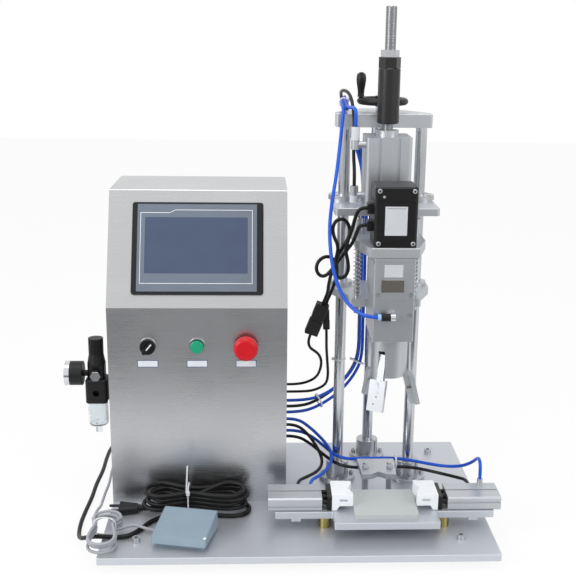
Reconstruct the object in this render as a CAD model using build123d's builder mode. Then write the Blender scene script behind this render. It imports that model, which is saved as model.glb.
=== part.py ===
from build123d import *
import math
import os

# Bench-top bottle capping machine: a control cabinet and a rotary capping head on one base plate.
# Millimetres. +X to the operator's right, -Y towards the operator, +Z up.
# The origin is on the bench, under the middle of the machine's footprint.

# Base plate and feet
plate_width = 660
plate_depth = 455
plate_thick = 12
plate_corner = 4
foot_height = 15
foot_dia = 38
foot_screw_dia = 8
foot_inset_x = 58
foot_inset_y = 54

# Control cabinet
cabinet_width = 310
cabinet_front = 196          # from the plate's front edge
cabinet_depth = 244
cabinet_crease = 363         # height of the crease above the plate
cabinet_height = 553
slope_run = 88
sheet = 2
bend_radius = 3
back_lip = 16
foot_lip = 18

# Touch panel on the sloping face
panel_width = 226.5
panel_height = 163
panel_proud = 6
panel_body_width = 213
panel_body_height = 149
panel_body_depth = 34
panel_centre_up = 104        # up the slope from the crease

# Push buttons on the front face
button_hole = 22.4
button_ring = 30
button_ring_proud = 4
button_bore = 17
button_barrel_length = 34
selector_x = 69.5
start_x = 154
estop_x = 238.5
button_up = 295
start_travel = 4
estop_travel = 6
estop_dia = 42
start_cap_dia = 23

# Columns and the head's centre line
head_offset = 477            # from the plate's left edge
column_dia = 20
column_half_span = 67
column_front = 294           # from the plate's front edge
column_back = 393
column_height = 687          # above the plate
column_fit = 0.05
flange_dia = 68
flange_thick = 8
collar_dia = 42
collar_height = 36
flange_pcd = 54
flange_screw_dia = 5

# Top plate, handwheel and lead screw
top_plate_thick = 23
top_plate_half_width = 84
top_plate_front = 280
top_plate_edge = 16          # metal behind the back column's centre
screw_offset = 320
screw_dia = 14
screw_length = 330
wheel_dia = 90
wheel_rim = 13
wheel_lift = 13              # underside of the rim above the top plate
grip_height = 40
grip_dia = 17

# Carriage
carriage_rest = 525          # underside above the plate
carriage_thick = 12.5
carriage_half_width = 89
carriage_front = 195
carriage_back = 350
bearing_dia = 32
bearing_flange = 54
bearing_flange_thick = 8
bearing_below = 5

# Air cylinder, its rod and the stroke stop
cylinder_side = 77
cylinder_offset = 238
cylinder_length = 117.5
cylinder_bore = 63
cylinder_boss_dia = 38
cylinder_boss = 9.6
rod_dia = 20
thread_dia = 18
rod_top = 865.8              # above the plate
piston_thick = 20
stop_gap = 10.7
sleeve_dia = 37
sleeve_length = 91.5
sleeve_hex = 32
sleeve_hex_length = 17.5
nut_hex = 27
nut_length = 11.5
running_fit = 0.05

# Head plate, housing and motor
axis_offset = 122            # capping axis from the plate's front edge
head_rest = 478              # underside of the head plate above the plate
head_thick = 16
head_front = 82
head_back = 260
head_nose_half = 39
head_half_width = 58
head_shoulder = 148
guide_half_span = 48.5
guide_offset = 200
guide_dia = 8
guide_post_dia = 16
guide_post = 26
housing_width = 66
housing_front = 80
housing_depth = 100
housing_height = 138
motor_width = 69
motor_depth = 66
motor_height = 97
spindle_dia = 25
spindle_gap = 2

# Lower guide plate and springs
lower_rest = 368
lower_thick = 14
lower_half_width = 88
lower_front = 188
lower_arm_half = 62
spring_dia = 14
spring_wire = 1.8
spring_turns = 13

# Gripper
gripper_dia = 59
gripper_height = 66
finger_angles = (240, 0, 120)
finger_width = 11
slot_side_gap = 0.2
pivot_radius = 22
pivot_up = 28                # above the gripper's underside
pin_dia = 4
finger_tilt = 14
jaw_plate_width = 28
jaw_plate_thick = 8
jaw_plate_height = 52
finger_pad = 8

# Bottle fixture
fixture_up = 20
fixture_thick = 12
fixture_half_width = 89
fixture_front = 50
fixture_back = 172
wing_half_span = 188
wing_depth = 64
standoff_dia = 21
standoff_half_span = 102
standoff_pitch = 38
rest_width = 108
rest_depth = 94
rest_thick = 8
rest_front = 64
stop_front = 186
stop_width = 62
stop_depth = 66
stop_thick = 10
stop_up = 46                 # underside above the plate
stop_stud_half = 22
stud_hex = 10
notch_width = 30
notch_depth = 11

# Clamp cylinders
clamp_length = 92
clamp_outer = 200            # outer end from the head's centre line
clamp_depth = 58
clamp_height = 24
clamp_gap = 9
clamp_plate_thick = 8
clamp_rod_dia = 8
clamp_rod_pitch = 38
clamp_piston_dia = 10
jaw_reach = 36
jaw_depth = 56
jaw_height = 28
vee_depth = 8
vee_width = 34

# Filter regulator on the cabinet's left wall
gauge_reach = 81             # how far the gauge stands past the plate's left edge
gauge_dia = 43
gauge_depth = 31
regulator_x = -26
regulator_offset = 235
regulator_body_z = 180
regulator_body_height = 44
regulator_body_width = 38
bonnet_dia = 32
bonnet_height = 45
regulator_knob_dia = 26
regulator_knob_height = 28
bowl_dia = 35
bowl_length = 46
bowl_wall = 2.5
port_dia = 11.4
port_length = 12

# Foot switch
pedal_width = 92
pedal_depth = 84
pedal_x = 138
pedal_y = 64
pedal_turn = -12             # degrees about +Z
pedal_front_height = 16
pedal_back_height = 36
pedal_wall = 3

# Air lines, leads and cords
line_dia = 6
lead_dia = 5
motor_lead_dia = 6
power_cord_dia = 7.5
pedal_cord_dia = 5

# Reference places in the machine's own frame
clamp_overhang = max(0, head_offset + clamp_outer - plate_width)
plate_left = -(plate_width + clamp_overhang - gauge_reach) / 2
plate_right = plate_left + plate_width
plate_front = -plate_depth / 2
plate_top = foot_height + plate_thick
head_x = plate_left + head_offset
axis_y = plate_front + axis_offset
column_y = plate_front + column_front
back_y = plate_front + column_back
screw_y = plate_front + screw_offset
cylinder_y = plate_front + cylinder_offset
guide_y = plate_front + guide_offset
cabinet_y = plate_front + cabinet_front
cabinet_back_y = cabinet_y + cabinet_depth
top_plate_z = plate_top + column_height - top_plate_thick
carriage_z = plate_top + carriage_rest
carriage_top = carriage_z + carriage_thick
cylinder_top = carriage_top + cylinder_length
head_z = plate_top + head_rest
head_top = head_z + head_thick
housing_z = head_z - housing_height
gripper_top = housing_z - spindle_gap
gripper_z = gripper_top - gripper_height
pivot_z = gripper_z + pivot_up
lower_z = plate_top + lower_rest
lower_top = lower_z + lower_thick
fixture_z = plate_top + fixture_up
fixture_top = fixture_z + fixture_thick
sleeve_z = cylinder_top + cylinder_boss + stop_gap
column_places = [
    (head_x - column_half_span, column_y),
    (head_x + column_half_span, column_y),
    (head_x, back_y),
]

os.makedirs("parts", exist_ok=True)


def keep(piece, label):
    """Name a finished piece and write its STEP file."""
    piece.part.label = label
    export_step(piece.part, f"parts/{label}.step")


def at(x, y, z):
    """A place given from the plate's left edge, front edge and top."""
    return (plate_left + x, plate_front + y, plate_top + z)


# Base plate: one aluminium sheet with its screw holes
with BuildPart() as base_plate:
    with BuildSketch(Plane.XY.offset(foot_height)):
        with Locations((plate_left + plate_width / 2, 0)):
            RectangleRounded(plate_width, plate_depth, plate_corner)
    extrude(amount=plate_thick)
    chamfer(base_plate.faces().sort_by(Axis.Z)[-1].edges(), 0.8)
    foot_places = [
        (plate_left + side, depth_sign * (plate_depth / 2 - foot_inset_y))
        for side in (foot_inset_x, plate_width - foot_inset_x)
        for depth_sign in (-1, 1)
    ]
    with Locations(*[(x, y, plate_top) for x, y in foot_places]):
        Hole(foot_screw_dia / 2 + 0.2)
    for x, y in column_places:
        with Locations((x, y, plate_top)):
            with PolarLocations(flange_pcd / 2, 4):
                Hole(flange_screw_dia / 2 + 0.1)
keep(base_plate, "base_plate")

# Rubber feet, slightly tapered, with a pocket for the screw's nut
foot_pocket_dia = 17
foot_pocket = 6
with BuildPart() as rubber_feet:
    for x, y in foot_places:
        with BuildSketch(Plane.XY.offset(foot_height)) as foot_outline:
            with Locations((x, y)):
                Circle(foot_dia / 2)
        extrude(amount=-foot_height, taper=5)
        with Locations((x, y, foot_height)):
            Hole(foot_screw_dia / 2 + 0.2)
        with Locations(Location((x, y, 0))):
            Cylinder(foot_pocket_dia / 2, foot_pocket, mode=Mode.SUBTRACT,
                     align=(Align.CENTER, Align.CENTER, Align.MIN))
keep(rubber_feet, "rubber_feet")


def socket_screw(x, y, seat, dia, length):
    """A socket cap screw that stands head up on the seat."""
    head = dia * 1.7
    with Locations((x, y, seat)):
        Cylinder(head / 2, dia, align=(Align.CENTER, Align.CENTER, Align.MIN))
        Cylinder(dia / 2, length, align=(Align.CENTER, Align.CENTER, Align.MAX))
    with BuildSketch(Plane.XY.offset(seat + dia)) as socket:
        with Locations((x, y)):
            RegularPolygon(dia * 0.42, 6, major_radius=False)
    extrude(socket.sketch, amount=-dia * 0.6, mode=Mode.SUBTRACT)


# Cabinet: one folded sheet with a vertical front, a sloping face, a top and two sides
slope_rise = cabinet_height - cabinet_crease
slope_length = math.hypot(slope_run, slope_rise)
slope_out = Vector(0, -slope_rise / slope_length, slope_run / slope_length)
slope_up = Vector(0, slope_run / slope_length, slope_rise / slope_length)
crease_point = Vector(plate_left + cabinet_width / 2, cabinet_y, plate_top + cabinet_crease)
panel_centre = crease_point + slope_up * panel_centre_up
panel_plane = Plane(origin=panel_centre, x_dir=(1, 0, 0), z_dir=slope_out)
button_places = [plate_left + x for x in (selector_x, start_x, estop_x)]
button_z = plate_top + button_up


def front_plane(x, z):
    """A plane on the cabinet's front face that looks at the operator."""
    return Plane(origin=(x, cabinet_y, z), x_dir=(1, 0, 0), z_dir=(0, -1, 0))


# Heights of the line exits on the right wall, above the plate
wall_line_z = {"right_black": 60, "right_blue": 72, "left_black": 84, "left_blue": 96, "head": 110,
               "tool_low": 122, "tool_high": 134, "sensor": 152, "drive": 167}
wall_line_y = plate_front + 350
gland_x = plate_left + 42
gland_z = plate_top + 60
pedal_gland_x = plate_left + 90
gland_hole = 12
bulkhead_hole = 9

with BuildPart() as cabinet_shell:
    with BuildSketch(Plane.YZ.offset(plate_left)) as side_outline:
        with BuildLine():
            Polyline(
                (cabinet_y, plate_top),
                (cabinet_y, plate_top + cabinet_crease),
                (cabinet_y + slope_run, plate_top + cabinet_height),
                (cabinet_back_y, plate_top + cabinet_height),
                (cabinet_back_y, plate_top),
                close=True,
            )
        make_face()
    extrude(amount=cabinet_width)
    bends = cabinet_shell.edges().filter_by(Axis.X).group_by(Axis.Y)[:2]
    fillet([e for group in bends for e in group if e.center().Z > plate_top + 1], bend_radius)
    outer_back = cabinet_shell.faces().sort_by(Axis.Y)[-1]
    outer_foot = cabinet_shell.faces().sort_by(Axis.Z)[0]
    offset(amount=-sheet, openings=[outer_back, outer_foot])
    # Inward lips for the back panel and for the screws into the plate
    with BuildSketch(Plane(origin=(plate_left, cabinet_back_y - sheet, plate_top),
                           x_dir=(1, 0, 0), z_dir=(0, -1, 0))):
        with Locations((cabinet_width / 2, cabinet_height / 2)):
            Rectangle(cabinet_width - sheet, cabinet_height - sheet)
            Rectangle(cabinet_width - 2 * back_lip, cabinet_height - 2 * back_lip, mode=Mode.SUBTRACT)
    extrude(amount=-sheet)
    with BuildSketch(Plane.XY.offset(plate_top)):
        with Locations((plate_left + cabinet_width / 2, cabinet_y + cabinet_depth / 2)):
            Rectangle(cabinet_width - sheet, cabinet_depth - sheet)
            Rectangle(cabinet_width - 2 * foot_lip, cabinet_depth - 2 * foot_lip, mode=Mode.SUBTRACT)
    extrude(amount=sheet)
    with BuildSketch(panel_plane.offset(2)):
        Rectangle(panel_body_width + 2, panel_body_height + 2)
    extrude(amount=-2 * sheet - 2, mode=Mode.SUBTRACT)
    for x in button_places:
        with BuildSketch(front_plane(x, button_z)):
            Circle(button_hole / 2 + 0.2)
        extrude(amount=-2 * sheet, mode=Mode.SUBTRACT)
    for z in wall_line_z.values():
        with BuildSketch(Plane(origin=(plate_left + cabinet_width, wall_line_y, plate_top + z),
                               z_dir=(1, 0, 0))):
            Circle(bulkhead_hole / 2)
        extrude(amount=-2 * sheet, mode=Mode.SUBTRACT)
keep(cabinet_shell, "cabinet_shell")

# Back panel of the cabinet, with louvres and the holes for the two glands
louvre_count = 6
louvre_pitch = 16
louvre_width = 120
louvre_slot = 4
with BuildPart() as cabinet_back:
    with BuildSketch(Plane(origin=(plate_left + cabinet_width / 2, cabinet_back_y, plate_top + cabinet_height / 2),
                           x_dir=(-1, 0, 0), z_dir=(0, 1, 0))) as panel_outline:
        RectangleRounded(cabinet_width, cabinet_height, 4)
        with Locations((0, cabinet_height / 4)):
            with GridLocations(0, louvre_pitch, 1, louvre_count):
                SlotOverall(louvre_width, louvre_slot, mode=Mode.SUBTRACT)
        with Locations((cabinet_width / 2 - (gland_x - plate_left), gland_z - plate_top - cabinet_height / 2),
                       (cabinet_width / 2 - (pedal_gland_x - plate_left),
                        gland_z - plate_top - cabinet_height / 2)):
            Circle(gland_hole / 2, mode=Mode.SUBTRACT)
    extrude(amount=sheet)
keep(cabinet_back, "cabinet_back")

# Touch panel: bezel with a sunk screen, and the body behind it that passes the cut-out
screen_width = 175
screen_height = 101
with BuildPart() as touch_panel:
    with BuildSketch(panel_plane):
        RectangleRounded(panel_width, panel_height, 5)
    extrude(amount=panel_proud)
    front_faces = touch_panel.faces().filter_by(lambda f: (f.normal_at() - slope_out).length < 0.01)
    chamfer(front_faces.edges(), 1.5)
    with BuildSketch(panel_plane.offset(panel_proud)):
        with Locations((-4, 8)):
            Rectangle(screen_width, screen_height)
    extrude(amount=-1, mode=Mode.SUBTRACT)
    with BuildSketch(panel_plane):
        RectangleRounded(panel_body_width, panel_body_height, 4)
    extrude(amount=-panel_body_depth)
keep(touch_panel, "touch_panel")

# Chromed collars of the three controls: ring in front, barrel through the hole, nut behind
collar_nut = 28
collar_nut_thick = 5
with BuildPart() as button_collars:
    for x in button_places:
        with BuildSketch(front_plane(x, button_z)):
            Circle(button_ring / 2)
        extrude(amount=button_ring_proud, taper=12)
        with BuildSketch(front_plane(x, button_z)):
            Circle(button_hole / 2)
        extrude(amount=-button_barrel_length)
        with BuildSketch(front_plane(x, button_z).offset(-sheet)):
            RegularPolygon(collar_nut / 2, 6, major_radius=False)
        extrude(amount=-collar_nut_thick)
        with BuildSketch(front_plane(x, button_z).offset(button_ring_proud)):
            Circle(button_bore / 2)
        extrude(amount=-button_barrel_length - 2, mode=Mode.SUBTRACT)
keep(button_collars, "button_collars")

# Selector knob: round base with a grip bar across it, and a stem in the collar
knob_dia = 27
knob_base = 6
knob_grip = 12
knob_grip_width = 9
stem_length = 30
selector_turn = 40           # degrees from upright to the pointer at rest
with BuildPart() as selector_knob:
    selector_plane = front_plane(button_places[0], button_z).offset(button_ring_proud + 0.3)
    with BuildSketch(selector_plane):
        Circle(knob_dia / 2)
    extrude(amount=knob_base, taper=4)
    with BuildSketch(selector_plane):
        SlotOverall(knob_dia - 3, knob_grip_width, rotation=90 - selector_turn)
    extrude(amount=knob_base + knob_grip, taper=3)
    with BuildSketch(selector_plane):
        Circle(button_bore / 2 - running_fit)
    extrude(amount=-stem_length)
keep(selector_knob, "selector_knob")

# Start button: a shallow cap that slides in the collar
with BuildPart() as start_button:
    start_plane = front_plane(button_places[1], button_z).offset(button_ring_proud + start_travel + 0.3)
    with BuildSketch(start_plane):
        Circle(start_cap_dia / 2)
    extrude(amount=3, taper=20)
    with BuildSketch(start_plane):
        Circle(button_bore / 2 - running_fit)
    extrude(amount=-stem_length)
keep(start_button, "start_button")

# Stop button: a mushroom head on a stem
estop_head = 16
with BuildPart() as estop_button:
    estop_plane = front_plane(button_places[2], button_z).offset(button_ring_proud + estop_travel + 0.3)
    with BuildSketch(estop_plane):
        Circle(estop_dia / 2)
    extrude(amount=estop_head)
    cap_rims = estop_button.faces().filter_by(Axis.Y).sort_by(Axis.Y)
    fillet(cap_rims[0].edges(), 7)
    fillet(cap_rims[-1].edges(), 2)
    with BuildSketch(estop_plane):
        Circle(button_bore / 2 - running_fit)
    extrude(amount=-stem_length)
keep(estop_button, "estop_button")

# Columns: three ground bars
with BuildPart() as guide_columns:
    for x, y in column_places:
        with BuildSketch(Plane.XY.offset(plate_top)):
            with Locations((x, y)):
                Circle(column_dia / 2)
        extrude(amount=column_height)
    chamfer(guide_columns.faces().filter_by(Axis.Z).edges(), 0.8)
keep(guide_columns, "guide_columns")

# Column flanges: turned, with four screw holes, a clamping slit and its cross screw hole
slit = 2
with BuildPart() as column_flanges:
    for x, y in column_places:
        with BuildSketch(Plane.XY.offset(plate_top)):
            with Locations((x, y)):
                Circle(flange_dia / 2)
        extrude(amount=flange_thick)
        with BuildSketch(Plane.XY.offset(plate_top + flange_thick)):
            with Locations((x, y)):
                Circle(collar_dia / 2)
        extrude(amount=collar_height - flange_thick)
    outer_rims = column_flanges.edges().filter_by(GeomType.CIRCLE).filter_by(
        lambda e: abs(e.radius - flange_dia / 2) < 0.1 and e.center().Z > plate_top + 1)
    fillet(outer_rims, 1.5)
    for x, y in column_places:
        with Locations((x, y, plate_top + collar_height)):
            Hole(column_dia / 2 + column_fit)
        with Locations((x, y, plate_top + flange_thick)):
            with PolarLocations(flange_pcd / 2, 4):
                Hole(flange_screw_dia / 2 + 0.1)
        with Locations((x + 12, y - 14, plate_top + collar_height)):
            Box(slit, 20, collar_height - flange_thick - 4, mode=Mode.SUBTRACT,
                align=(Align.CENTER, Align.CENTER, Align.MAX), rotation=(0, 0, 40))
keep(column_flanges, "column_flanges")

# Top plate: joins the three columns and carries the lead screw
top_plate_back = back_y + top_plate_edge
clamp_slit = 1.6
with BuildPart() as top_plate:
    with BuildSketch(Plane.XY.offset(top_plate_z)) as top_outline:
        with BuildLine():
            Polyline(
                (head_x - top_plate_half_width, plate_front + top_plate_front),
                (head_x + top_plate_half_width, plate_front + top_plate_front),
                (head_x + top_plate_half_width, column_y + 20),
                (head_x + 26, top_plate_back),
                (head_x - 26, top_plate_back),
                (head_x - top_plate_half_width, column_y + 20),
                close=True,
            )
        make_face()
        fillet(top_outline.vertices(), 4)
    extrude(amount=top_plate_thick)
    chamfer(top_plate.faces().sort_by(Axis.Z)[-1].edges(), 0.6)
    for x, y in column_places:
        with Locations((x, y, top_plate_z + top_plate_thick)):
            Hole(column_dia / 2 + column_fit)
    with Locations((head_x, screw_y, top_plate_z + top_plate_thick)):
        Hole(screw_dia / 2 + running_fit)
    for side in (-1, 1):
        with Locations((head_x + side * (top_plate_half_width + column_half_span) / 2, column_y,
                        top_plate_z + top_plate_thick / 2)):
            Box(top_plate_half_width - column_half_span, clamp_slit, top_plate_thick + 2,
                mode=Mode.SUBTRACT)
keep(top_plate, "top_plate")

# Carriage: plate, flanged bearings on the front columns, cylinder and guide rods
nut_hole_dia = 26
with BuildPart() as carriage_plate:
    with BuildSketch(Plane.XY.offset(carriage_z)) as carriage_outline:
        with BuildLine():
            Polyline(
                (head_x - carriage_half_width, plate_front + carriage_front),
                (head_x + carriage_half_width, plate_front + carriage_front),
                (head_x + carriage_half_width, column_y + 26),
                (head_x + 40, plate_front + carriage_back),
                (head_x - 40, plate_front + carriage_back),
                (head_x - carriage_half_width, column_y + 26),
                close=True,
            )
        make_face()
        fillet(carriage_outline.vertices(), 6)
    extrude(amount=carriage_thick)
    chamfer(carriage_plate.faces().sort_by(Axis.Z)[-1].edges(), 0.6)
    for side in (-1, 1):
        with Locations((head_x + side * column_half_span, column_y, carriage_top)):
            Hole(bearing_dia / 2 + column_fit)
        with Locations((head_x + side * guide_half_span, guide_y, carriage_top)):
            Hole(guide_dia / 2 + column_fit)
    with Locations((head_x, cylinder_y, carriage_top)):
        Hole(rod_dia / 2 + 2)
    # The feed nut is pressed in and stands proud underneath
    with Locations((head_x, screw_y, carriage_z)):
        Cylinder(nut_hole_dia / 2, 14, align=(Align.CENTER, Align.CENTER, Align.MAX))
    with Locations((head_x, screw_y, carriage_top)):
        Hole(screw_dia / 2 + running_fit)
keep(carriage_plate, "carriage_plate")

with BuildPart() as carriage_bearings:
    for side in (-1, 1):
        x = head_x + side * column_half_span
        with Locations((x, column_y, carriage_top)):
            Cylinder(bearing_flange / 2, bearing_flange_thick,
                     align=(Align.CENTER, Align.CENTER, Align.MIN))
            Cylinder(bearing_dia / 2, carriage_thick + bearing_below,
                     align=(Align.CENTER, Align.CENTER, Align.MAX))
        with Locations((x, column_y, carriage_top + bearing_flange_thick)):
            Hole(column_dia / 2 + running_fit)
            with PolarLocations(21.5, 4, start_angle=45):
                CounterBoreHole(2.1, 4, 4, depth=bearing_flange_thick)
keep(carriage_bearings, "carriage_bearings")

# Cylinder: square extruded tube with grooved sides, round cap on top, two elbow fittings
groove = 5
groove_deep = 2.5
fitting_dia = 14
fitting_reach = 17
fitting_side_x = head_x - cylinder_side / 2
fitting_y = cylinder_y - 16
fitting_low_z = carriage_top + 18
fitting_high_z = cylinder_top - 14
with BuildPart() as cylinder_body:
    with BuildSketch(Plane.XY.offset(carriage_top)) as tube_section:
        with Locations((head_x, cylinder_y)):
            RectangleRounded(cylinder_side, cylinder_side, 6)
            with PolarLocations(cylinder_side / 2, 4):
                with Locations((0, -16), (0, 16)):
                    Rectangle(2 * groove_deep, groove, mode=Mode.SUBTRACT)
    extrude(amount=cylinder_length)
    with Locations((head_x, cylinder_y, cylinder_top)):
        Cylinder(cylinder_boss_dia / 2, cylinder_boss, align=(Align.CENTER, Align.CENTER, Align.MIN))
    bore_z = carriage_top + 12
    with Locations((head_x, cylinder_y, bore_z)):
        Cylinder(cylinder_bore / 2, cylinder_length - 24, mode=Mode.SUBTRACT,
                 align=(Align.CENTER, Align.CENTER, Align.MIN))
    with Locations((head_x, cylinder_y, cylinder_top + cylinder_boss)):
        Hole(rod_dia / 2 + running_fit)
    for z, below, above in ((fitting_low_z, 12, 16), (fitting_high_z, 8, 30)):
        with BuildSketch(Plane(origin=(fitting_side_x + 1, fitting_y, z), z_dir=(-1, 0, 0))):
            Circle(fitting_dia / 2 - 1.5)
        extrude(amount=fitting_reach + 1)
        with Locations((fitting_side_x - fitting_reach, fitting_y, z - below)):
            Cylinder(fitting_dia / 2, below + above, align=(Align.CENTER, Align.CENTER, Align.MIN))
keep(cylinder_body, "cylinder_body")

# Guide rods from the carriage down through the head plate to the lower plate, with end nuts
with BuildPart() as guide_rods:
    rod_end = lower_z - 14
    for side in (-1, 1):
        with Locations((head_x + side * guide_half_span, guide_y, rod_end)):
            Cylinder(guide_dia / 2, carriage_z + carriage_thick - rod_end,
                     align=(Align.CENTER, Align.CENTER, Align.MIN))
        with BuildSketch(Plane.XY.offset(lower_z)):
            with Locations((head_x + side * guide_half_span, guide_y)):
                RegularPolygon(6.5, 6, major_radius=False)
        extrude(amount=-8)
keep(guide_rods, "guide_rods")

# Lower guide plate: slides on the front columns and ties the guide rods
with BuildPart() as lower_guide_plate:
    with BuildSketch(Plane.XY.offset(lower_z)) as lower_outline:
        with BuildLine():
            Polyline(
                (head_x - lower_arm_half, plate_front + lower_front),
                (head_x + lower_arm_half, plate_front + lower_front),
                (head_x + lower_arm_half, guide_y + 14),
                (head_x + lower_half_width, column_y - 22),
                (head_x + lower_half_width, column_y + 22),
                (head_x - lower_half_width, column_y + 22),
                (head_x - lower_half_width, column_y - 22),
                (head_x - lower_arm_half, guide_y + 14),
                close=True,
            )
        make_face()
        fillet(lower_outline.vertices(), 5)
    extrude(amount=lower_thick)
    for side in (-1, 1):
        with Locations((head_x + side * column_half_span, column_y, lower_top)):
            Cylinder(19, 6, align=(Align.CENTER, Align.CENTER, Align.MIN))
        with Locations((head_x + side * column_half_span, column_y, lower_top + 6)):
            Hole(column_dia / 2 + running_fit)
        with Locations((head_x + side * guide_half_span, guide_y, lower_top)):
            Hole(guide_dia / 2 + column_fit)
    # Room for the lead screw
    with Locations((head_x, screw_y, lower_top)):
        Hole(screw_dia / 2 + 3)
keep(lower_guide_plate, "lower_guide_plate")

# Return springs round the guide rods
with BuildPart() as return_springs:
    spring_length = head_z - lower_top - 0.6
    spring_radius = (spring_dia - spring_wire) / 2
    for side in (-1, 1):
        coil_base = (head_x + side * guide_half_span, guide_y, lower_top + 0.3 + spring_wire / 2)
        with BuildLine() as coil:
            Helix(pitch=(spring_length - spring_wire) / spring_turns,
                  height=spring_length - spring_wire, radius=spring_radius, center=coil_base)
        with BuildSketch(Plane(coil.line @ 0, z_dir=coil.line % 0)):
            Circle(spring_wire / 2)
        sweep(path=coil.line, is_frenet=True)
keep(return_springs, "return_springs")

# Lead screw with its collar on the top plate
with BuildPart() as lead_screw:
    screw_top = top_plate_z + top_plate_thick + wheel_lift + wheel_rim
    with Locations((head_x, screw_y, screw_top)):
        Cylinder(screw_dia / 2, screw_length, align=(Align.CENTER, Align.CENTER, Align.MAX))
    with Locations((head_x, screw_y, top_plate_z + top_plate_thick + 0.3)):
        Cylinder(12, wheel_lift - 3, align=(Align.CENTER, Align.CENTER, Align.MIN))
    chamfer(lead_screw.faces().filter_by(Axis.Z).sort_by(Axis.Z)[0].edges(), 1.5)
keep(lead_screw, "lead_screw")

# Handwheel: rim, hub and three spokes
wheel_z = top_plate_z + top_plate_thick + wheel_lift + wheel_rim / 2
rim_radius = (wheel_dia - wheel_rim) / 2
spoke_angles = (0, 120, 240)
grip_pin_dia = 8
grip_pin_length = grip_height + 6
grip_place = (head_x - rim_radius, screw_y)
with BuildPart() as handwheel:
    with BuildSketch(Plane(origin=(head_x, screw_y, wheel_z), x_dir=(1, 0, 0), z_dir=(0, -1, 0))):
        with Locations((rim_radius, 0)):
            Ellipse(wheel_rim / 2, wheel_rim / 2 - 0.5)
    revolve(axis=Axis((head_x, screw_y, 0), (0, 0, 1)))
    with Locations((head_x, screw_y, wheel_z)):
        Cylinder(13, wheel_rim + 5)
        for angle in spoke_angles:
            with Locations(Location((0, 0, 0), (0, 0, angle + 180))):
                Box(rim_radius - 2, 9, 7, align=(Align.MIN, Align.CENTER, Align.CENTER))
    with Locations((grip_place[0], grip_place[1], wheel_z)):
        Cylinder(grip_pin_dia / 2, grip_pin_length + 3, align=(Align.CENTER, Align.CENTER, Align.MIN))
    with Locations((head_x, screw_y, wheel_z + 20)):
        Hole(screw_dia / 2)
keep(handwheel, "handwheel")

# Turning grip on the handwheel
with BuildPart() as crank_grip:
    grip_z = wheel_z + wheel_rim / 2 + 0.5
    with BuildSketch(Plane(origin=(grip_place[0], grip_place[1], grip_z), x_dir=(1, 0, 0),
                           z_dir=(0, -1, 0))) as grip_outline:
        with BuildLine():
            grip_edge = Polyline(
                (grip_pin_dia / 2 + running_fit, 0),
                (grip_dia * 0.36, 0),
            )
            Spline(grip_edge @ 1, (grip_dia * 0.36, grip_height * 0.3), (grip_dia / 2, grip_height * 0.8),
                   (grip_dia * 0.4, grip_height))
            Polyline((grip_dia * 0.4, grip_height), (grip_pin_dia / 2 + running_fit, grip_height),
                     grip_edge @ 0)
        make_face()
    revolve(axis=Axis((grip_place[0], grip_place[1], 0), (0, 0, 1)))
keep(crank_grip, "crank_grip")

# Head plate: eight-sided, with guide posts round the rods
with BuildPart() as head_plate:
    with BuildSketch(Plane.XY.offset(head_z)) as head_outline:
        with BuildLine():
            Polyline(
                (head_x - head_nose_half, plate_front + head_front),
                (head_x + head_nose_half, plate_front + head_front),
                (head_x + head_half_width, plate_front + head_shoulder),
                (head_x + head_half_width, plate_front + head_back - 16),
                (head_x + head_half_width - 20, plate_front + head_back),
                (head_x - head_half_width + 20, plate_front + head_back),
                (head_x - head_half_width, plate_front + head_back - 16),
                (head_x - head_half_width, plate_front + head_shoulder),
                close=True,
            )
        make_face()
    extrude(amount=head_thick)
    chamfer(head_plate.faces().filter_by(Axis.Z).edges(), 0.8)
    for side in (-1, 1):
        with Locations((head_x + side * guide_half_span, guide_y, head_top)):
            Cylinder(guide_post_dia / 2, guide_post, align=(Align.CENTER, Align.CENTER, Align.MIN))
        with Locations((head_x + side * guide_half_span, guide_y, head_top + guide_post)):
            Hole(guide_dia / 2 + running_fit)
        with BuildSketch(Plane(origin=(head_x + side * guide_half_span, guide_y - guide_post_dia / 2,
                                       head_top + guide_post / 2), z_dir=(0, -1, 0))):
            Circle(1.6)
        extrude(amount=-3, mode=Mode.SUBTRACT)
    with Locations((head_x, axis_y, head_top)):
        Hole(spindle_dia / 2 + 1)
    with Locations((head_x, cylinder_y, head_top)):
        Hole(6 + column_fit)
keep(head_plate, "head_plate")

# Spindle housing below the head plate
housing_y = plate_front + housing_front
elbow_z = housing_z + 44
elbow_x = head_x - 6
with BuildPart() as head_housing:
    with BuildSketch(Plane.XY.offset(housing_z)):
        with Locations((head_x, plate_front + housing_front + housing_depth / 2)):
            RectangleRounded(housing_width, housing_depth, 2)
    extrude(amount=housing_height)
    for z, height in ((housing_z + housing_height - 9, 3), (housing_z + 69, 1)):
        with BuildSketch(Plane.XY.offset(z)):
            with Locations((head_x, plate_front + housing_front + housing_depth / 2)):
                Rectangle(housing_width + 2, housing_depth + 2)
                RectangleRounded(housing_width - 2, housing_depth - 2, 2, mode=Mode.SUBTRACT)
        extrude(amount=height, mode=Mode.SUBTRACT)
    with BuildSketch(Plane(origin=(head_x, housing_y, housing_z + 61),
                           z_dir=(0, -1, 0), x_dir=(1, 0, 0))):
        with GridLocations(52, 34, 2, 2):
            Circle(3.8)
    extrude(amount=-5, mode=Mode.SUBTRACT)
    with BuildSketch(Plane(origin=(head_x, housing_y, housing_z + 92.5),
                           z_dir=(0, -1, 0), x_dir=(1, 0, 0))):
        RectangleRounded(35, 22, 4)
    extrude(amount=1.5)
    with Locations((head_x, axis_y, head_z)):
        Hole(spindle_dia / 2 + running_fit)
    # Elbow fitting for the gripper's air line
    with BuildSketch(Plane(origin=(elbow_x, housing_y, elbow_z), z_dir=(0, -1, 0))):
        Circle(6)
    extrude(amount=8)
    with BuildSketch(Plane(origin=(elbow_x + 7.5, housing_y - 10, elbow_z), z_dir=(-1, 0, 0))):
        Circle(5.5)
    extrude(amount=22)
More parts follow.
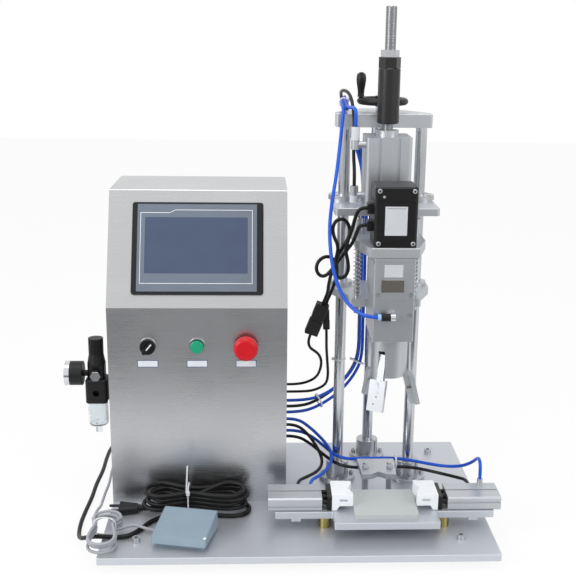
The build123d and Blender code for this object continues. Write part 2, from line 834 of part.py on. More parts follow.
keep(head_housing, "head_housing")

# Servo motor standing on the head plate
motor_y = plate_front + housing_front + 8 + motor_depth / 2
motor_cap = 24
with BuildPart() as motor_body:
    with BuildSketch(Plane.XY.offset(head_top)):
        with Locations((head_x, motor_y)):
            RectangleRounded(motor_width, motor_depth, 6)
    extrude(amount=motor_height)
    chamfer(motor_body.faces().sort_by(Axis.Z)[-1].edges(), 2.5)
    for z in (head_top + 26, head_top + motor_height - motor_cap):
        with BuildSketch(Plane.XY.offset(z)):
            with Locations((head_x, motor_y)):
                Rectangle(motor_width + 2, motor_depth + 2)
                RectangleRounded(motor_width - 2, motor_depth - 2, 5, mode=Mode.SUBTRACT)
        extrude(amount=1.2, mode=Mode.SUBTRACT)
    # Two plug sockets on the left side
    for z in (head_top + 30, head_top + 58):
        with Locations((head_x - motor_width / 2 + 1, motor_y, z)):
            Box(10, 20, 16, align=(Align.MAX, Align.CENTER, Align.CENTER))
    with Locations((head_x, axis_y, head_top)):
        Cylinder(spindle_dia / 2 + 0.5, 14, mode=Mode.SUBTRACT,
                 align=(Align.CENTER, Align.CENTER, Align.MIN))
keep(motor_body, "motor_body")

# Piston rod, with the piston inside the cylinder and a threaded upper end
with BuildPart() as piston_rod:
    thread_start = cylinder_top + cylinder_boss
    thread_end = plate_top + rod_top
    piston_z = cylinder_top - 12 - 0.5 - piston_thick
    with Locations((head_x, cylinder_y, head_top)):
        Cylinder(6, head_thick, align=(Align.CENTER, Align.CENTER, Align.MAX))
        Cylinder(rod_dia / 2, thread_start - head_top, align=(Align.CENTER, Align.CENTER, Align.MIN))
    with Locations((head_x, cylinder_y, thread_start)):
        Cylinder(thread_dia / 2, thread_end - thread_start,
                 align=(Align.CENTER, Align.CENTER, Align.MIN))
    with Locations((head_x, cylinder_y, piston_z)):
        Cylinder(cylinder_bore / 2 - running_fit, piston_thick,
                 align=(Align.CENTER, Align.CENTER, Align.MIN))
    chamfer(piston_rod.faces().filter_by(Axis.Z).sort_by(Axis.Z)[-1].edges(), 1.2)
keep(piston_rod, "piston_rod")

# Stroke stop: a knurled sleeve with a hexagon, and its lock nut
with BuildPart() as stop_sleeve:
    with Locations((head_x, cylinder_y, sleeve_z)):
        Cylinder(sleeve_dia / 2, sleeve_length, align=(Align.CENTER, Align.CENTER, Align.MIN))
    chamfer(stop_sleeve.faces().filter_by(Axis.Z).edges(), 1.5)
    with BuildSketch(Plane.XY.offset(sleeve_z + sleeve_length)):
        with Locations((head_x, cylinder_y)):
            RegularPolygon(sleeve_hex / 2, 6, major_radius=False)
    extrude(amount=sleeve_hex_length)
    with Locations((head_x, cylinder_y, sleeve_z + sleeve_length + sleeve_hex_length)):
        Hole(thread_dia / 2 + running_fit)
keep(stop_sleeve, "stop_sleeve")

with BuildPart() as lock_nut:
    with BuildSketch(Plane.XY.offset(sleeve_z + sleeve_length + sleeve_hex_length)):
        with Locations((head_x, cylinder_y)):
            RegularPolygon(nut_hex / 2, 6, major_radius=False)
            Circle(thread_dia / 2 + running_fit, mode=Mode.SUBTRACT)
    extrude(amount=nut_length)
keep(lock_nut, "lock_nut")

# Spindle from the motor down to the gripper
with BuildPart() as spindle:
    with Locations((head_x, axis_y, gripper_top)):
        Cylinder(spindle_dia / 2, head_top + 10 - gripper_top,
                 align=(Align.CENTER, Align.CENTER, Align.MIN))
    chamfer(spindle.faces().filter_by(Axis.Z).sort_by(Axis.Z)[-1].edges(), 1)
keep(spindle, "spindle")

# Gripper: round body with three slots, each crossed by a hinge pin
slot_height = pivot_up + 18
with BuildPart() as gripper_body:
    with Locations((head_x, axis_y, gripper_z)):
        Cylinder(gripper_dia / 2, gripper_height, align=(Align.CENTER, Align.CENTER, Align.MIN))
    fillet(gripper_body.faces().sort_by(Axis.Z)[-1].edges(), 4)
    with Locations((head_x, axis_y, gripper_z)):
        for angle in finger_angles:
            with Locations(Location((0, 0, 0), (0, 0, angle))):
                with Locations((8, 0, 0)):
                    Box(gripper_dia / 2, finger_width + 2 * slot_side_gap, slot_height,
                        align=(Align.MIN, Align.CENTER, Align.MIN), mode=Mode.SUBTRACT)
                with Locations(Location((pivot_radius, 0, pivot_up), (90, 0, 0))):
                    Cylinder(pin_dia / 2, finger_width + 4)
keep(gripper_body, "gripper_body")

# Fingers: a shank in the slot, a wide plate outside it and a soft pad inside
shank_half = 4.5
for index, angle in enumerate(finger_angles):
    with BuildPart() as gripper_finger:
        with Locations(Location((head_x, axis_y, 0), (0, 0, angle))):
            with Locations(Location((pivot_radius, 0, pivot_z), (0, -finger_tilt, 0))):
                with Locations((0, 0, 10)):
                    Box(2 * shank_half, finger_width, 62, align=(Align.CENTER, Align.CENTER, Align.MAX))
                with Locations((shank_half, 0, -pivot_up - 4)):
                    Box(jaw_plate_thick, jaw_plate_width, jaw_plate_height,
                        align=(Align.MIN, Align.CENTER, Align.MAX))
                with Locations((shank_half, 0, -pivot_up - 26)):
                    Box(finger_pad, jaw_plate_width - 6, 28,
                        align=(Align.MAX, Align.CENTER, Align.MAX))
                for drop in (11, 20):
                    with Locations(Location((shank_half + jaw_plate_thick, 0, -pivot_up - 4 - drop),
                                            (0, 90, 0))):
                        Cylinder(3.2, 1.6)
                with Locations(Location((0, 0, 0), (90, 0, 0))):
                    Cylinder(pin_dia / 2 + running_fit, finger_width + 2, mode=Mode.SUBTRACT)
    keep(gripper_finger, f"gripper_finger_{index + 1}")

# Bottle fixture: a cross-shaped plate on brass standoffs, with the rest pad on it
wing_front = axis_y - wing_depth / 2
wing_back = axis_y + wing_depth / 2
with BuildPart() as fixture_plate:
    with BuildSketch(Plane.XY.offset(fixture_z)) as fixture_outline:
        with Locations((head_x, plate_front + (fixture_front + fixture_back) / 2)):
            Rectangle(2 * fixture_half_width, fixture_back - fixture_front)
        with Locations((head_x, axis_y)):
            Rectangle(2 * wing_half_span, wing_depth)
        fillet(fixture_outline.vertices(), 3)
    extrude(amount=fixture_thick)
    chamfer(fixture_plate.faces().sort_by(Axis.Z)[-1].edges(), 0.6)
    # A locating block under each wing
    with Locations((head_x - wing_half_span + 36, wing_front + 6, fixture_z),
                   (head_x + wing_half_span - 36, wing_front + 6, fixture_z)):
        Box(16, 12, 5, align=(Align.CENTER, Align.CENTER, Align.MAX))
keep(fixture_plate, "fixture_plate")

with BuildPart() as fixture_standoffs:
    with BuildSketch(Plane.XY.offset(plate_top)):
        with Locations((head_x, axis_y)):
            with GridLocations(2 * standoff_half_span, standoff_pitch, 2, 2):
                Circle(standoff_dia / 2)
    extrude(amount=fixture_up)
keep(fixture_standoffs, "fixture_standoffs")

with BuildPart() as rest_pad:
    with Locations((head_x, plate_front + rest_front + rest_depth / 2, fixture_top)):
        Box(rest_width, rest_depth, rest_thick, align=(Align.CENTER, Align.CENTER, Align.MIN))
    fillet(rest_pad.edges().filter_by(Axis.Z), 3)
keep(rest_pad, "rest_pad")

# Back stop: a notched plate on two hexagon studs, held through slots by screws and nuts
stop_y = plate_front + stop_front
stop_z = plate_top + stop_up
with BuildPart() as back_stop:
    with BuildSketch(Plane.XY.offset(stop_z)) as stop_outline:
        with BuildLine():
            Polyline(
                (head_x - stop_width / 2, stop_y),
                (head_x - notch_width / 2, stop_y),
                (head_x, stop_y + notch_depth),
                (head_x + notch_width / 2, stop_y),
                (head_x + stop_width / 2, stop_y),
                (head_x + stop_width / 2 + 3, stop_y + stop_depth),
                (head_x - stop_width / 2 - 3, stop_y + stop_depth),
                close=True,
            )
        make_face()
        for side in (-1, 1):
            with Locations((head_x + side * stop_stud_half, stop_y + 34)):
                SlotOverall(30, 6.6, rotation=90, mode=Mode.SUBTRACT)
    extrude(amount=stop_thick)
    for side in (-1, 1):
        stud_place = (head_x + side * stop_stud_half, stop_y + 26)
        for low, high in ((plate_top, stop_z), (stop_z + stop_thick, stop_z + stop_thick + 5)):
            with BuildSketch(Plane.XY.offset(low)):
                with Locations(stud_place):
                    RegularPolygon(stud_hex / 2, 6, major_radius=False)
            extrude(amount=high - low)
        with Locations((stud_place[0], stud_place[1], stop_z)):
            Cylinder(3, stop_thick + 11, align=(Align.CENTER, Align.CENTER, Align.MIN))
keep(back_stop, "back_stop")

# Clamp cylinders: grooved bodies on the wings, with two guide rods and a piston rod each
clamp_z = fixture_top
clamp_mid_z = clamp_z + clamp_height / 2
rod_places = (-clamp_rod_pitch / 2, clamp_rod_pitch / 2)
port_reach = 10
clamp_bore_depth = clamp_length - 6
right_port_x = head_x + clamp_outer - 28
with BuildPart() as clamp_bodies:
    for side in (-1, 1):
        outer_x = head_x + side * clamp_outer
        with BuildSketch(Plane(origin=(outer_x, axis_y, clamp_mid_z), x_dir=(0, 1, 0),
                               z_dir=(-side, 0, 0))) as clamp_section:
            Rectangle(clamp_depth, clamp_height)
            chamfer(clamp_section.vertices(), 2.5)
            with Locations((clamp_depth / 2, -3), (-clamp_depth / 2, -3),
                           (0, clamp_height / 2), (0, -clamp_height / 2)):
                Rectangle(4, 4, mode=Mode.SUBTRACT)
        extrude(amount=clamp_length)
        inner_plane = Plane(origin=(outer_x - side * clamp_length, axis_y, clamp_mid_z), x_dir=(0, 1, 0),
                            z_dir=(-side, 0, 0))
        with BuildSketch(inner_plane):
            with Locations(*[(y, 0) for y in rod_places]):
                Circle(clamp_rod_dia / 2 + running_fit)
            Circle(clamp_piston_dia / 2 + running_fit)
        extrude(amount=-clamp_bore_depth, mode=Mode.SUBTRACT)
    # Push-in fittings: rear ones on both sides, and one on top of the right body
    rear_ports = [head_x - clamp_outer + 53, head_x - clamp_outer + 75, head_x + clamp_outer - 41]
    for x in rear_ports:
        with BuildSketch(Plane(origin=(x, axis_y + clamp_depth / 2, clamp_mid_z), z_dir=(0, 1, 0))):
            Circle(5)
        extrude(amount=port_reach)
    with Locations((right_port_x, axis_y + clamp_depth / 2 - 10, clamp_z + clamp_height)):
        Cylinder(5, 12, align=(Align.CENTER, Align.CENTER, Align.MIN))
keep(clamp_bodies, "clamp_bodies")

jaw_base_z = fixture_top + 1
jaw_top_z = jaw_base_z + jaw_height
for side, name in ((-1, "left"), (1, "right")):
    body_end = head_x + side * (clamp_outer - clamp_length)
    plate_near = body_end - side * clamp_gap
    plate_far = plate_near - side * clamp_plate_thick
    with BuildPart() as clamp_slide:
        with BuildSketch(Plane(origin=(plate_near, axis_y, clamp_mid_z + 1), x_dir=(0, 1, 0),
                               z_dir=(-side, 0, 0))):
            RectangleRounded(clamp_depth - 2, clamp_height, 2)
        extrude(amount=clamp_plate_thick)
        with BuildSketch(Plane(origin=(plate_near, axis_y, clamp_mid_z), x_dir=(0, 1, 0),
                               z_dir=(side, 0, 0))):
            with Locations(*[(y, 0) for y in rod_places]):
                Circle(clamp_rod_dia / 2)
            Circle(clamp_piston_dia / 2)
        extrude(amount=clamp_gap + clamp_bore_depth - 8)
    keep(clamp_slide, f"clamp_slide_{name}")

    # V jaw: stepped underneath so that it passes over the rest pad
    with BuildPart() as clamp_jaw:
        tip = plate_far - side * jaw_reach
        step_z = fixture_top + rest_thick + 1
        with BuildSketch(Plane(origin=(0, axis_y + jaw_depth / 2, 0), x_dir=(1, 0, 0),
                               z_dir=(0, -1, 0))) as jaw_outline:
            with BuildLine():
                Polyline(
                    (plate_far, jaw_base_z),
                    (plate_far, jaw_top_z),
                    (tip, jaw_top_z),
                    (tip, step_z),
                    (plate_far - side * 13, step_z),
                    (plate_far - side * 8, jaw_base_z),
                    close=True,
                )
            make_face()
        extrude(amount=jaw_depth)
        with BuildSketch(Plane.XY.offset(jaw_base_z)):
            with BuildLine():
                Polyline((tip, axis_y - vee_width / 2), (tip + side * vee_depth, axis_y),
                         (tip, axis_y + vee_width / 2), close=True)
            make_face()
        extrude(amount=jaw_height, mode=Mode.SUBTRACT)
        with BuildSketch(Plane(origin=(plate_far - side * 20, axis_y - jaw_depth / 2,
                                       (step_z + jaw_top_z) / 2), z_dir=(0, -1, 0), x_dir=(1, 0, 0))):
            SlotOverall(15, 5)
        extrude(amount=-6, mode=Mode.SUBTRACT)
    keep(clamp_jaw, f"clamp_jaw_{name}")

# Filter regulator: body with two ports, bonnet, gauge, bowl and knob
regulator_place = (plate_left + regulator_x, plate_front + regulator_offset)
block_z = plate_top + regulator_body_z
block_top = block_z + regulator_body_height
bonnet_top = block_top + bonnet_height
bracket_thick = -regulator_x - regulator_body_width / 2
with BuildPart() as filter_regulator:
    with BuildSketch(Plane.XY.offset(block_z)):
        with Locations(regulator_place):
            RectangleRounded(regulator_body_width, regulator_body_width, 6)
    extrude(amount=regulator_body_height)
    chamfer(filter_regulator.faces().filter_by(Axis.Z).edges(), 2)
    with BuildSketch(Plane.XY.offset(block_top)):
        with Locations(regulator_place):
            RectangleRounded(30, 30, 8)
    extrude(amount=27)
    with BuildSketch(Plane.XY.offset(block_top + 27)):
        with Locations(regulator_place):
            Circle(bonnet_dia / 2)
    extrude(amount=bonnet_height - 27, taper=10)
    with Locations((regulator_place[0], regulator_place[1], bonnet_top)):
        Cylinder(7 + running_fit, 16, mode=Mode.SUBTRACT, align=(Align.CENTER, Align.CENTER, Align.MAX))
    # Hexagon plug in front, bracket to the wall, inlet in front and outlet elbow behind
    with BuildSketch(Plane(origin=(regulator_place[0], regulator_place[1] - 15, block_top + 12),
                           z_dir=(0, -1, 0), x_dir=(1, 0, 0))):
        RegularPolygon(8, 6, major_radius=False)
    extrude(amount=6)
    with Locations((plate_left, regulator_place[1], block_z + regulator_body_height / 2)):
        Box(bracket_thick, 28, 30, align=(Align.MAX, Align.CENTER, Align.CENTER))
    port_z = block_z + 20
    with BuildSketch(Plane(origin=(regulator_place[0], regulator_place[1] - regulator_body_width / 2, port_z),
                           z_dir=(0, -1, 0))):
        Circle(port_dia / 2)
    extrude(amount=-port_length, mode=Mode.SUBTRACT)
    with BuildSketch(Plane(origin=(regulator_place[0], regulator_place[1] + regulator_body_width / 2, port_z),
                           z_dir=(0, 1, 0))):
        Circle(6.5)
    extrude(amount=16)
    with BuildSketch(Plane(origin=(regulator_place[0] - 7, regulator_place[1] + regulator_body_width / 2 + 12,
                                   port_z), z_dir=(1, 0, 0))):
        Circle(5.5)
    extrude(amount=7 - regulator_x)
keep(filter_regulator, "filter_regulator")

with BuildPart() as regulator_knob:
    with BuildSketch(Plane.XY.offset(bonnet_top + 0.3)) as knob_outline:
        with Locations(regulator_place):
            Circle(regulator_knob_dia / 2)
            with PolarLocations(regulator_knob_dia / 2, 16):
                Circle(1, mode=Mode.SUBTRACT)
    extrude(amount=regulator_knob_height)
    with Locations((regulator_place[0], regulator_place[1], bonnet_top + 0.3)):
        Cylinder(7, 14, align=(Align.CENTER, Align.CENTER, Align.MAX))
keep(regulator_knob, "regulator_knob")

gauge_z = block_top + 8
with BuildPart() as pressure_gauge:
    gauge_plane = Plane(origin=(plate_left - gauge_reach, regulator_place[1], gauge_z), z_dir=(1, 0, 0))
    with BuildSketch(gauge_plane):
        Circle(gauge_dia / 2)
    extrude(amount=gauge_depth)
    fillet(pressure_gauge.edges(), 1.2)
    with BuildSketch(gauge_plane):
        Circle(gauge_dia / 2 - 3)
    extrude(amount=1.5, mode=Mode.SUBTRACT)
    with BuildSketch(gauge_plane.offset(gauge_depth)):
        Circle(5.5)
    extrude(amount=gauge_reach - gauge_depth + regulator_x - 15)
keep(pressure_gauge, "pressure_gauge")

with BuildPart() as filter_bowl:
    with BuildSketch(Plane.XY.offset(block_z)):
        with Locations(regulator_place):
            Circle(bowl_dia / 2)
    extrude(amount=-bowl_length)
    fillet(filter_bowl.faces().sort_by(Axis.Z)[0].edges(), 7)
    with BuildSketch(Plane.XY.offset(block_z)):
        with Locations(regulator_place):
            Circle(bowl_dia / 2 - bowl_wall)
    extrude(amount=-bowl_length + 2 * bowl_wall, mode=Mode.SUBTRACT)
    with Locations((regulator_place[0], regulator_place[1], block_z - bowl_length + 0.5)):
        Cylinder(6, 13, align=(Align.CENTER, Align.CENTER, Align.MAX))
keep(filter_bowl, "filter_bowl")

# Foot switch: a base with its hinge pin, and a hollow treadle over it
pedal_place = Location((plate_left + pedal_x, plate_front + pedal_y, plate_top), (0, 0, pedal_turn))
pedal_side_gap = 1
pedal_pin_y = pedal_depth / 2 - 9
pedal_pin_z = 7
pedal_pin_dia = 4
pedal_exit_y = 6
pedal_exit_z = 6
relief_reach = 5             # the strain relief stands this far out of the treadle's side
tray_width = pedal_width - 2 * pedal_wall - 2 * pedal_side_gap
tray_depth = pedal_depth - 2 * pedal_wall - 2 * pedal_side_gap
tray_front_gap = 5
with BuildPart() as pedal_base:
    with BuildSketch():
        with Locations((0, tray_front_gap / 2)):
            Rectangle(tray_width, tray_depth - tray_front_gap)
    extrude(amount=10)
    with BuildSketch(Plane.YZ.offset(-pedal_width / 2)):
        with Locations((pedal_pin_y, pedal_pin_z)):
            Circle(pedal_pin_dia / 2)
    extrude(amount=pedal_width)
    with BuildSketch(Plane.YZ.offset(-pedal_width / 2 - relief_reach)):
        with Locations((pedal_exit_y, pedal_exit_z)):
            Circle(4)
    extrude(amount=relief_reach + 12)
pedal_base.part.locate(pedal_place)
keep(pedal_base, "pedal_base")

lid_lean = 6
with BuildPart() as pedal_lid:
    with BuildSketch(Plane.YZ.offset(-pedal_width / 2)) as lid_side:
        with BuildLine():
            Polyline((-pedal_depth / 2, 9), (-pedal_depth / 2 + lid_lean, pedal_front_height + lid_lean),
                     (pedal_depth / 2 - 3, pedal_back_height), (pedal_depth / 2, pedal_back_height - 6),
                     (pedal_depth / 2, 3), close=True)
        make_face()
    extrude(amount=pedal_width)
    fillet(pedal_lid.edges().filter_by(Axis.X).group_by(Axis.Z)[-1], 3)
    top_rim = pedal_lid.edges().filter_by(lambda e: e.center().Z > 12 and abs(e.center().X) > 45)
    chamfer(top_rim, 1.5)
    with BuildSketch(Plane.YZ.offset(-pedal_width / 2 + pedal_wall)) as lid_inside:
        with BuildLine():
            Polyline((-pedal_depth / 2 + pedal_wall, -1),
                     (-pedal_depth / 2 + lid_lean + pedal_wall, pedal_front_height + lid_lean - pedal_wall),
                     (pedal_depth / 2 - 3 - pedal_wall, pedal_back_height - pedal_wall),
                     (pedal_depth / 2 - pedal_wall, pedal_back_height - 8),
                     (pedal_depth / 2 - pedal_wall, -1), close=True)
        make_face()
    extrude(amount=pedal_width - 2 * pedal_wall, mode=Mode.SUBTRACT)
    with BuildSketch(Plane.YZ.offset(-pedal_width / 2 - 1)):
        with Locations((pedal_pin_y, pedal_pin_z)):
            Circle(pedal_pin_dia / 2 + running_fit)
    extrude(amount=pedal_width + 2, mode=Mode.SUBTRACT)
    with BuildSketch(Plane.YZ.offset(-pedal_width / 2 - 1)):
        with Locations((pedal_exit_y, pedal_exit_z)):
            Rectangle(10, 16)
    extrude(amount=2 * pedal_wall, mode=Mode.SUBTRACT)
pedal_lid.part.locate(pedal_place)
keep(pedal_lid, "pedal_lid")

# Screws: four through the feet and twelve in the column flanges
with BuildPart() as frame_screws:
    for x, y in foot_places:
        socket_screw(x, y, plate_top, foot_screw_dia, plate_thick + 4)
    for x, y in column_places:
        for quarter in range(4):
            turn = math.radians(90 * quarter)
            socket_screw(x + flange_pcd / 2 * math.cos(turn), y + flange_pcd / 2 * math.sin(turn),
                         plate_top + flange_thick, flange_screw_dia, flange_thick + plate_thick - 2)
keep(frame_screws, "frame_screws")

# Grommets where the lines leave the cabinet, and the glands of the two cords
grommet_reach = 4
gland_reach = 11
wall_x = plate_left + cabinet_width
with BuildPart() as wall_grommets:
    for z in wall_line_z.values():
        with BuildSketch(Plane(origin=(wall_x, wall_line_y, plate_top + z), z_dir=(1, 0, 0))):
            Circle(5.8)
        extrude(amount=grommet_reach)
        with BuildSketch(Plane(origin=(wall_x, wall_line_y, plate_top + z), z_dir=(1, 0, 0))):
            Circle(bulkhead_hole / 2 - 0.1)
        extrude(amount=-2 * sheet)
    for x in (gland_x, pedal_gland_x):
        gland_plane = Plane(origin=(x, cabinet_back_y + sheet, gland_z), z_dir=(0, 1, 0))
        with BuildSketch(gland_plane):
            RegularPolygon(9, 6, major_radius=False)
        extrude(amount=gland_reach)
        with BuildSketch(gland_plane):
            Circle(gland_hole / 2 - 0.1)
        extrude(amount=-6)
keep(wall_grommets, "wall_grommets")


def bend_radii(points):
    """The radius at each corner of a route: 0.45 of the shorter run over the tangent of half the turn."""
    radii = []
    for before, here, after in zip(points, points[1:], points[2:]):
        run_in = Vector(*here) - Vector(*before)
        run_out = Vector(*after) - Vector(*here)
        half_turn = math.radians(run_in.get_angle(run_out)) / 2
        radii.append(0.45 * min(run_in.length, run_out.length) / math.tan(half_turn))
    return radii


def line_along(places, dia):
    """Sweep a round line along a route given from the plate's corner; used inside a BuildPart."""
    points = [at(*place) for place in places]
    radii = bend_radii(points)
    print("radii over diameter:", [round(radius / dia, 1) for radius in radii])
    with BuildLine() as route:
        FilletPolyline(*points, radius=radii)
    with BuildSketch(Plane(route.line @ 0, z_dir=route.line % 0)) as section:
        Circle(dia / 2)
    tube = sweep(section.sketch, path=route.line)
    length = sum(edge.length for edge in route.edges())
    section_area = math.pi * dia * dia / 4
    print("  length", round(length), "volume over section x length",
          round(tube.volume / (section_area * length), 3))


# Air lines that leave the cabinet: three up the back column and four to the clamps
line_start = cabinet_width + grommet_reach
head_line = [
    (line_start, 350, 134), (345, 350, 134), (378, 358, 138), (411, 371, 153), (439, 383, 177),
    (456.5, 389.5, 212), (455.5, 390.5, 285), (456.5, 389.5, 360), (455.5, 390.5, 432),
    (456.5, 389.5, 500), (454.5, 390.5, 558), (446.5, 393.5, 598), (431.5, 395.5, 636),
    (417.5, 391.5, 671), (409.5, 371.5, 698), (405.5, 341.5, 708), (403.5, 311.5, 708), (404.5, 284.5, 700),
]
tool_high_line = [
    (line_start, 350, 110), (345, 350, 110), (380, 360, 120), (415, 374, 139), (445, 387, 168),
    (463, 393, 205), (462, 394, 280), (463, 393, 355), (462, 394, 430), (463, 393, 500), (461, 394, 560),
    (453, 397, 602), (438, 399, 640), (424, 395, 675), (416, 375, 702), (412, 345, 712), (410, 315, 712),
    (411, 288, 704),
]
tool_low_line = [
    (line_start, 350, 122), (345, 350, 122), (376, 363, 130), (408, 380, 146), (438, 393, 173),
    (456, 399, 210), (455, 400, 285), (456, 399, 360), (455, 400, 435), (456, 399, 505), (454, 400, 565),
    (446, 403, 607), (431, 405, 645), (417, 401, 680), (409, 383, 708), (406, 356, 721), (412, 328, 724),
    (419, 302, 717), (420, 279, 705),
]
clamp_port_z = fixture_up + fixture_thick + clamp_height / 2
clamp_port_y = axis_offset + clamp_depth / 2 + port_reach
left_ports = [x - plate_left for x in rear_ports[:2]]
right_port = rear_ports[2] - plate_left
top_port = right_port_x - plate_left
left_blue_line = [
    (line_start, 350, 96), (336, 350, 96), (360, 335, 84), (382, 312, 70), (396, 286, 60),
    (397, 258, 52), (388, 232, 47), (374, 208, 45), (left_ports[1], 186, clamp_port_z),
    (left_ports[1], clamp_port_y, clamp_port_z),
]
left_black_line = [
    (line_start, 350, 84), (334, 350, 84), (355, 334, 72), (371, 309, 57), (380, 280, 46),
    (378, 254, 42), (368, 230, 41), (350, 208, 42), (left_ports[0], 186, clamp_port_z),
    (left_ports[0], clamp_port_y, clamp_port_z),
]
right_blue_line = [
    (line_start, 350, 72), (338, 350, 72), (364, 334, 66), (386, 304, 58), (403, 272, 55), (424, 258, 53),
    (452, 262, 52), (484, 268, 50), (514, 272, 48), (546, 269, 45), (580, 258, 42), (610, 242, 44),
    (634, 222, 54), (648, 200, 72), (651, 178, 90), (650, 158, 98), (top_port, 141, 92),
    (top_port, 141, fixture_up + fixture_thick + clamp_height + 12),
]
right_black_line = [
    (line_start, 350, 60), (336, 350, 60), (360, 328, 54), (384, 288, 48), (404, 256, 45), (430, 243, 43),
    (460, 246, 41), (490, 254, 39), (520, 258, 37), (550, 256, 36), (578, 246, 34), (604, 228, 35),
    (624, 206, 39), (right_port, 186, clamp_port_z), (right_port, clamp_port_y, clamp_port_z),
]
drive_plug_low = (353, 235, 306)
drive_plug_high = (372.7, 225, 362.4)
sensor_plug_low = (381, 247, 311)
sensor_plug_high = (379.5, 243, 346)


def past_end(start, end, reach):
    """A place beyond the end of a straight piece, on its own line."""
    along = Vector(*end) - Vector(*start)
    place = Vector(*end) + along * (reach / along.length)
    return (place.X, place.Y, place.Z)


drive_lead = [
    (line_start, 350, 167), (336, 350, 167), (356, 338, 177), (369, 316, 194), (374, 290, 217),
    (375, 268, 241), (370, 252, 259), (362, 247, 268), (353, 243, 275), (349, 240, 284),
    past_end(drive_plug_high, drive_plug_low, 11), drive_plug_low,
]
sensor_lead = [
    (line_start, 350, 152), (338, 350, 152), (362, 338, 158), (379, 318, 173), (387, 296, 190),
    (388, 276, 214), (385, 260, 243), (382, 251, 274),
    past_end(sensor_plug_high, sensor_plug_low, 16), sensor_plug_low,
]
with BuildPart() as blue_lines:
    for places in (head_line, tool_high_line, left_blue_line, right_blue_line):
        line_along(places, line_dia)
keep(blue_lines, "blue_lines")

with BuildPart() as black_lines:
    for places in (tool_low_line, left_black_line, right_black_line):
        line_along(places, line_dia)
    for places in (drive_lead, sensor_lead):
        line_along(places, lead_dia)
keep(black_lines, "black_lines")

# Hoses between the top of the stand and the moving carriage
hose_end = (elbow_x - 14.5 - plate_left, housing_front - 10, elbow_z - plate_top)
with BuildPart() as head_hose:
    line_along([
        head_line[-1], past_end(*head_line[-2:], 14), (402, 257, 677), (396, 230, 634), (389, 198, 592),
        (381, 172, 555), (376, 152, 520), (376.5, 139, 485), (381, 127, 450), (391, 114, 418),
        (406, 98, 396), (424, 80, 386), (442, hose_end[1], hose_end[2]), hose_end,
    ], line_dia)
keep(head_hose, "head_hose")

fitting_x = fitting_side_x - fitting_reach - plate_left
fitting_top_low = fitting_low_z + 16 - plate_top
fitting_top_high = fitting_high_z + 30 - plate_top
with BuildPart() as cylinder_hoses:
    line_along([
        tool_low_line[-1], past_end(*tool_low_line[-2:], 16), (421.5, 252, 681), (421, 243, 650),
        (420.5, 238, 620), (fitting_x, 222, 596), (fitting_x, 222, fitting_top_low),
    ], line_dia)
    line_along([
        tool_high_line[-1], past_end(*tool_high_line[-2:], 14), (414, 259, 699), (419, 243, 701),
        (fitting_x, 225, 698), (fitting_x, 222, 684), (fitting_x, 222, fitting_top_high),
    ], line_dia)
keep(cylinder_hoses, "cylinder_hoses")

# Motor leads: in-line connectors and the tied cable above them
with BuildPart() as lead_connectors:
    for low, high, wide, deep in ((drive_plug_low, drive_plug_high, 24, 16),
                                  (sensor_plug_low, sensor_plug_high, 12, 11)):
        axis = Vector(*high) - Vector(*low)
        plug_plane = Plane(origin=at(*low), x_dir=(axis.Z, 0, -axis.X), z_dir=axis)
        for start, end, share in ((0, 0.45, 1), (0.45, 0.6, 0.9), (0.6, 1, 0.94)):
            with BuildSketch(plug_plane.offset(start * axis.length)):
                RectangleRounded(wide * share, deep * share, 2)
            extrude(amount=(end - start) * axis.length)
keep(lead_connectors, "lead_connectors")

socket_x = head_x - motor_width / 2 - 9 - plate_left
socket_y = motor_y - plate_front
with BuildPart() as motor_cable:
    line_along([
        (socket_x, socket_y, 552), (422, socket_y, 552), (416, 126, 538), (412, 131, 517), (406, 136, 497),
        (402, 139, 477), (407, 140, 459), (408, 140, 443), (401, 141, 431), (390, 142, 431), (385, 145, 443),
        (388, 150, 462), (399, 155, 480), (410, 157, 498), (410, 157, 514), (401, 157, 527),
        (388, 156, 526), (381, 154, 514), (383, 151, 499), (391, 148, 484), (389, 148, 466), (381, 153, 438),
        (378, 174, 410), (379, 201, 390), past_end(drive_plug_low, drive_plug_high, 12), drive_plug_high,
    ], motor_lead_dia)
    line_along([
        (socket_x, socket_y, 524), (422, socket_y, 524), (419, 129, 510), (415, 144, 491), (405, 160, 472),
        (393, 166, 454), (382, 167, 438), (372, 167, 427), (362, 167, 428), (356, 168, 438),
        (358, 169, 450), (367, 171, 459), (379, 174, 460), (390, 178, 450), (393, 186, 432), (391, 204, 406),
        (385, 226, 380), past_end(sensor_plug_low, sensor_plug_high, 14), sensor_plug_high,
    ], motor_lead_dia)
keep(motor_cable, "motor_cable")

# Cords on the plate: each a tube along its loose stretch and a plain solid for its tied hank
power_hank_place = (162, 160)
power_hank_length = 190
power_hank_width = 62
power_hank_height = 43
pedal_hank_place = (4, 70)
pedal_hank_length = 124
pedal_hank_width = 52
pedal_hank_height = 30
rest_gap = 0.3
power_rest = power_cord_dia / 2 + rest_gap
pedal_rest = pedal_cord_dia / 2 + rest_gap
channel_y = 62
floor_z = -foot_height - plate_thick
power_floor = floor_z + power_rest
pedal_floor = floor_z + pedal_rest
with BuildPart() as power_cord_hank:
    with BuildSketch(Plane.XY.offset(plate_top + rest_gap)):
        with Locations(at(*power_hank_place, 0)[:2]):
            RectangleRounded(power_hank_length, power_hank_width, 14)
    extrude(amount=power_hank_height)
    fillet(power_cord_hank.faces().sort_by(Axis.Z)[-1].edges(), 8)
keep(power_cord_hank, "power_cord_hank")

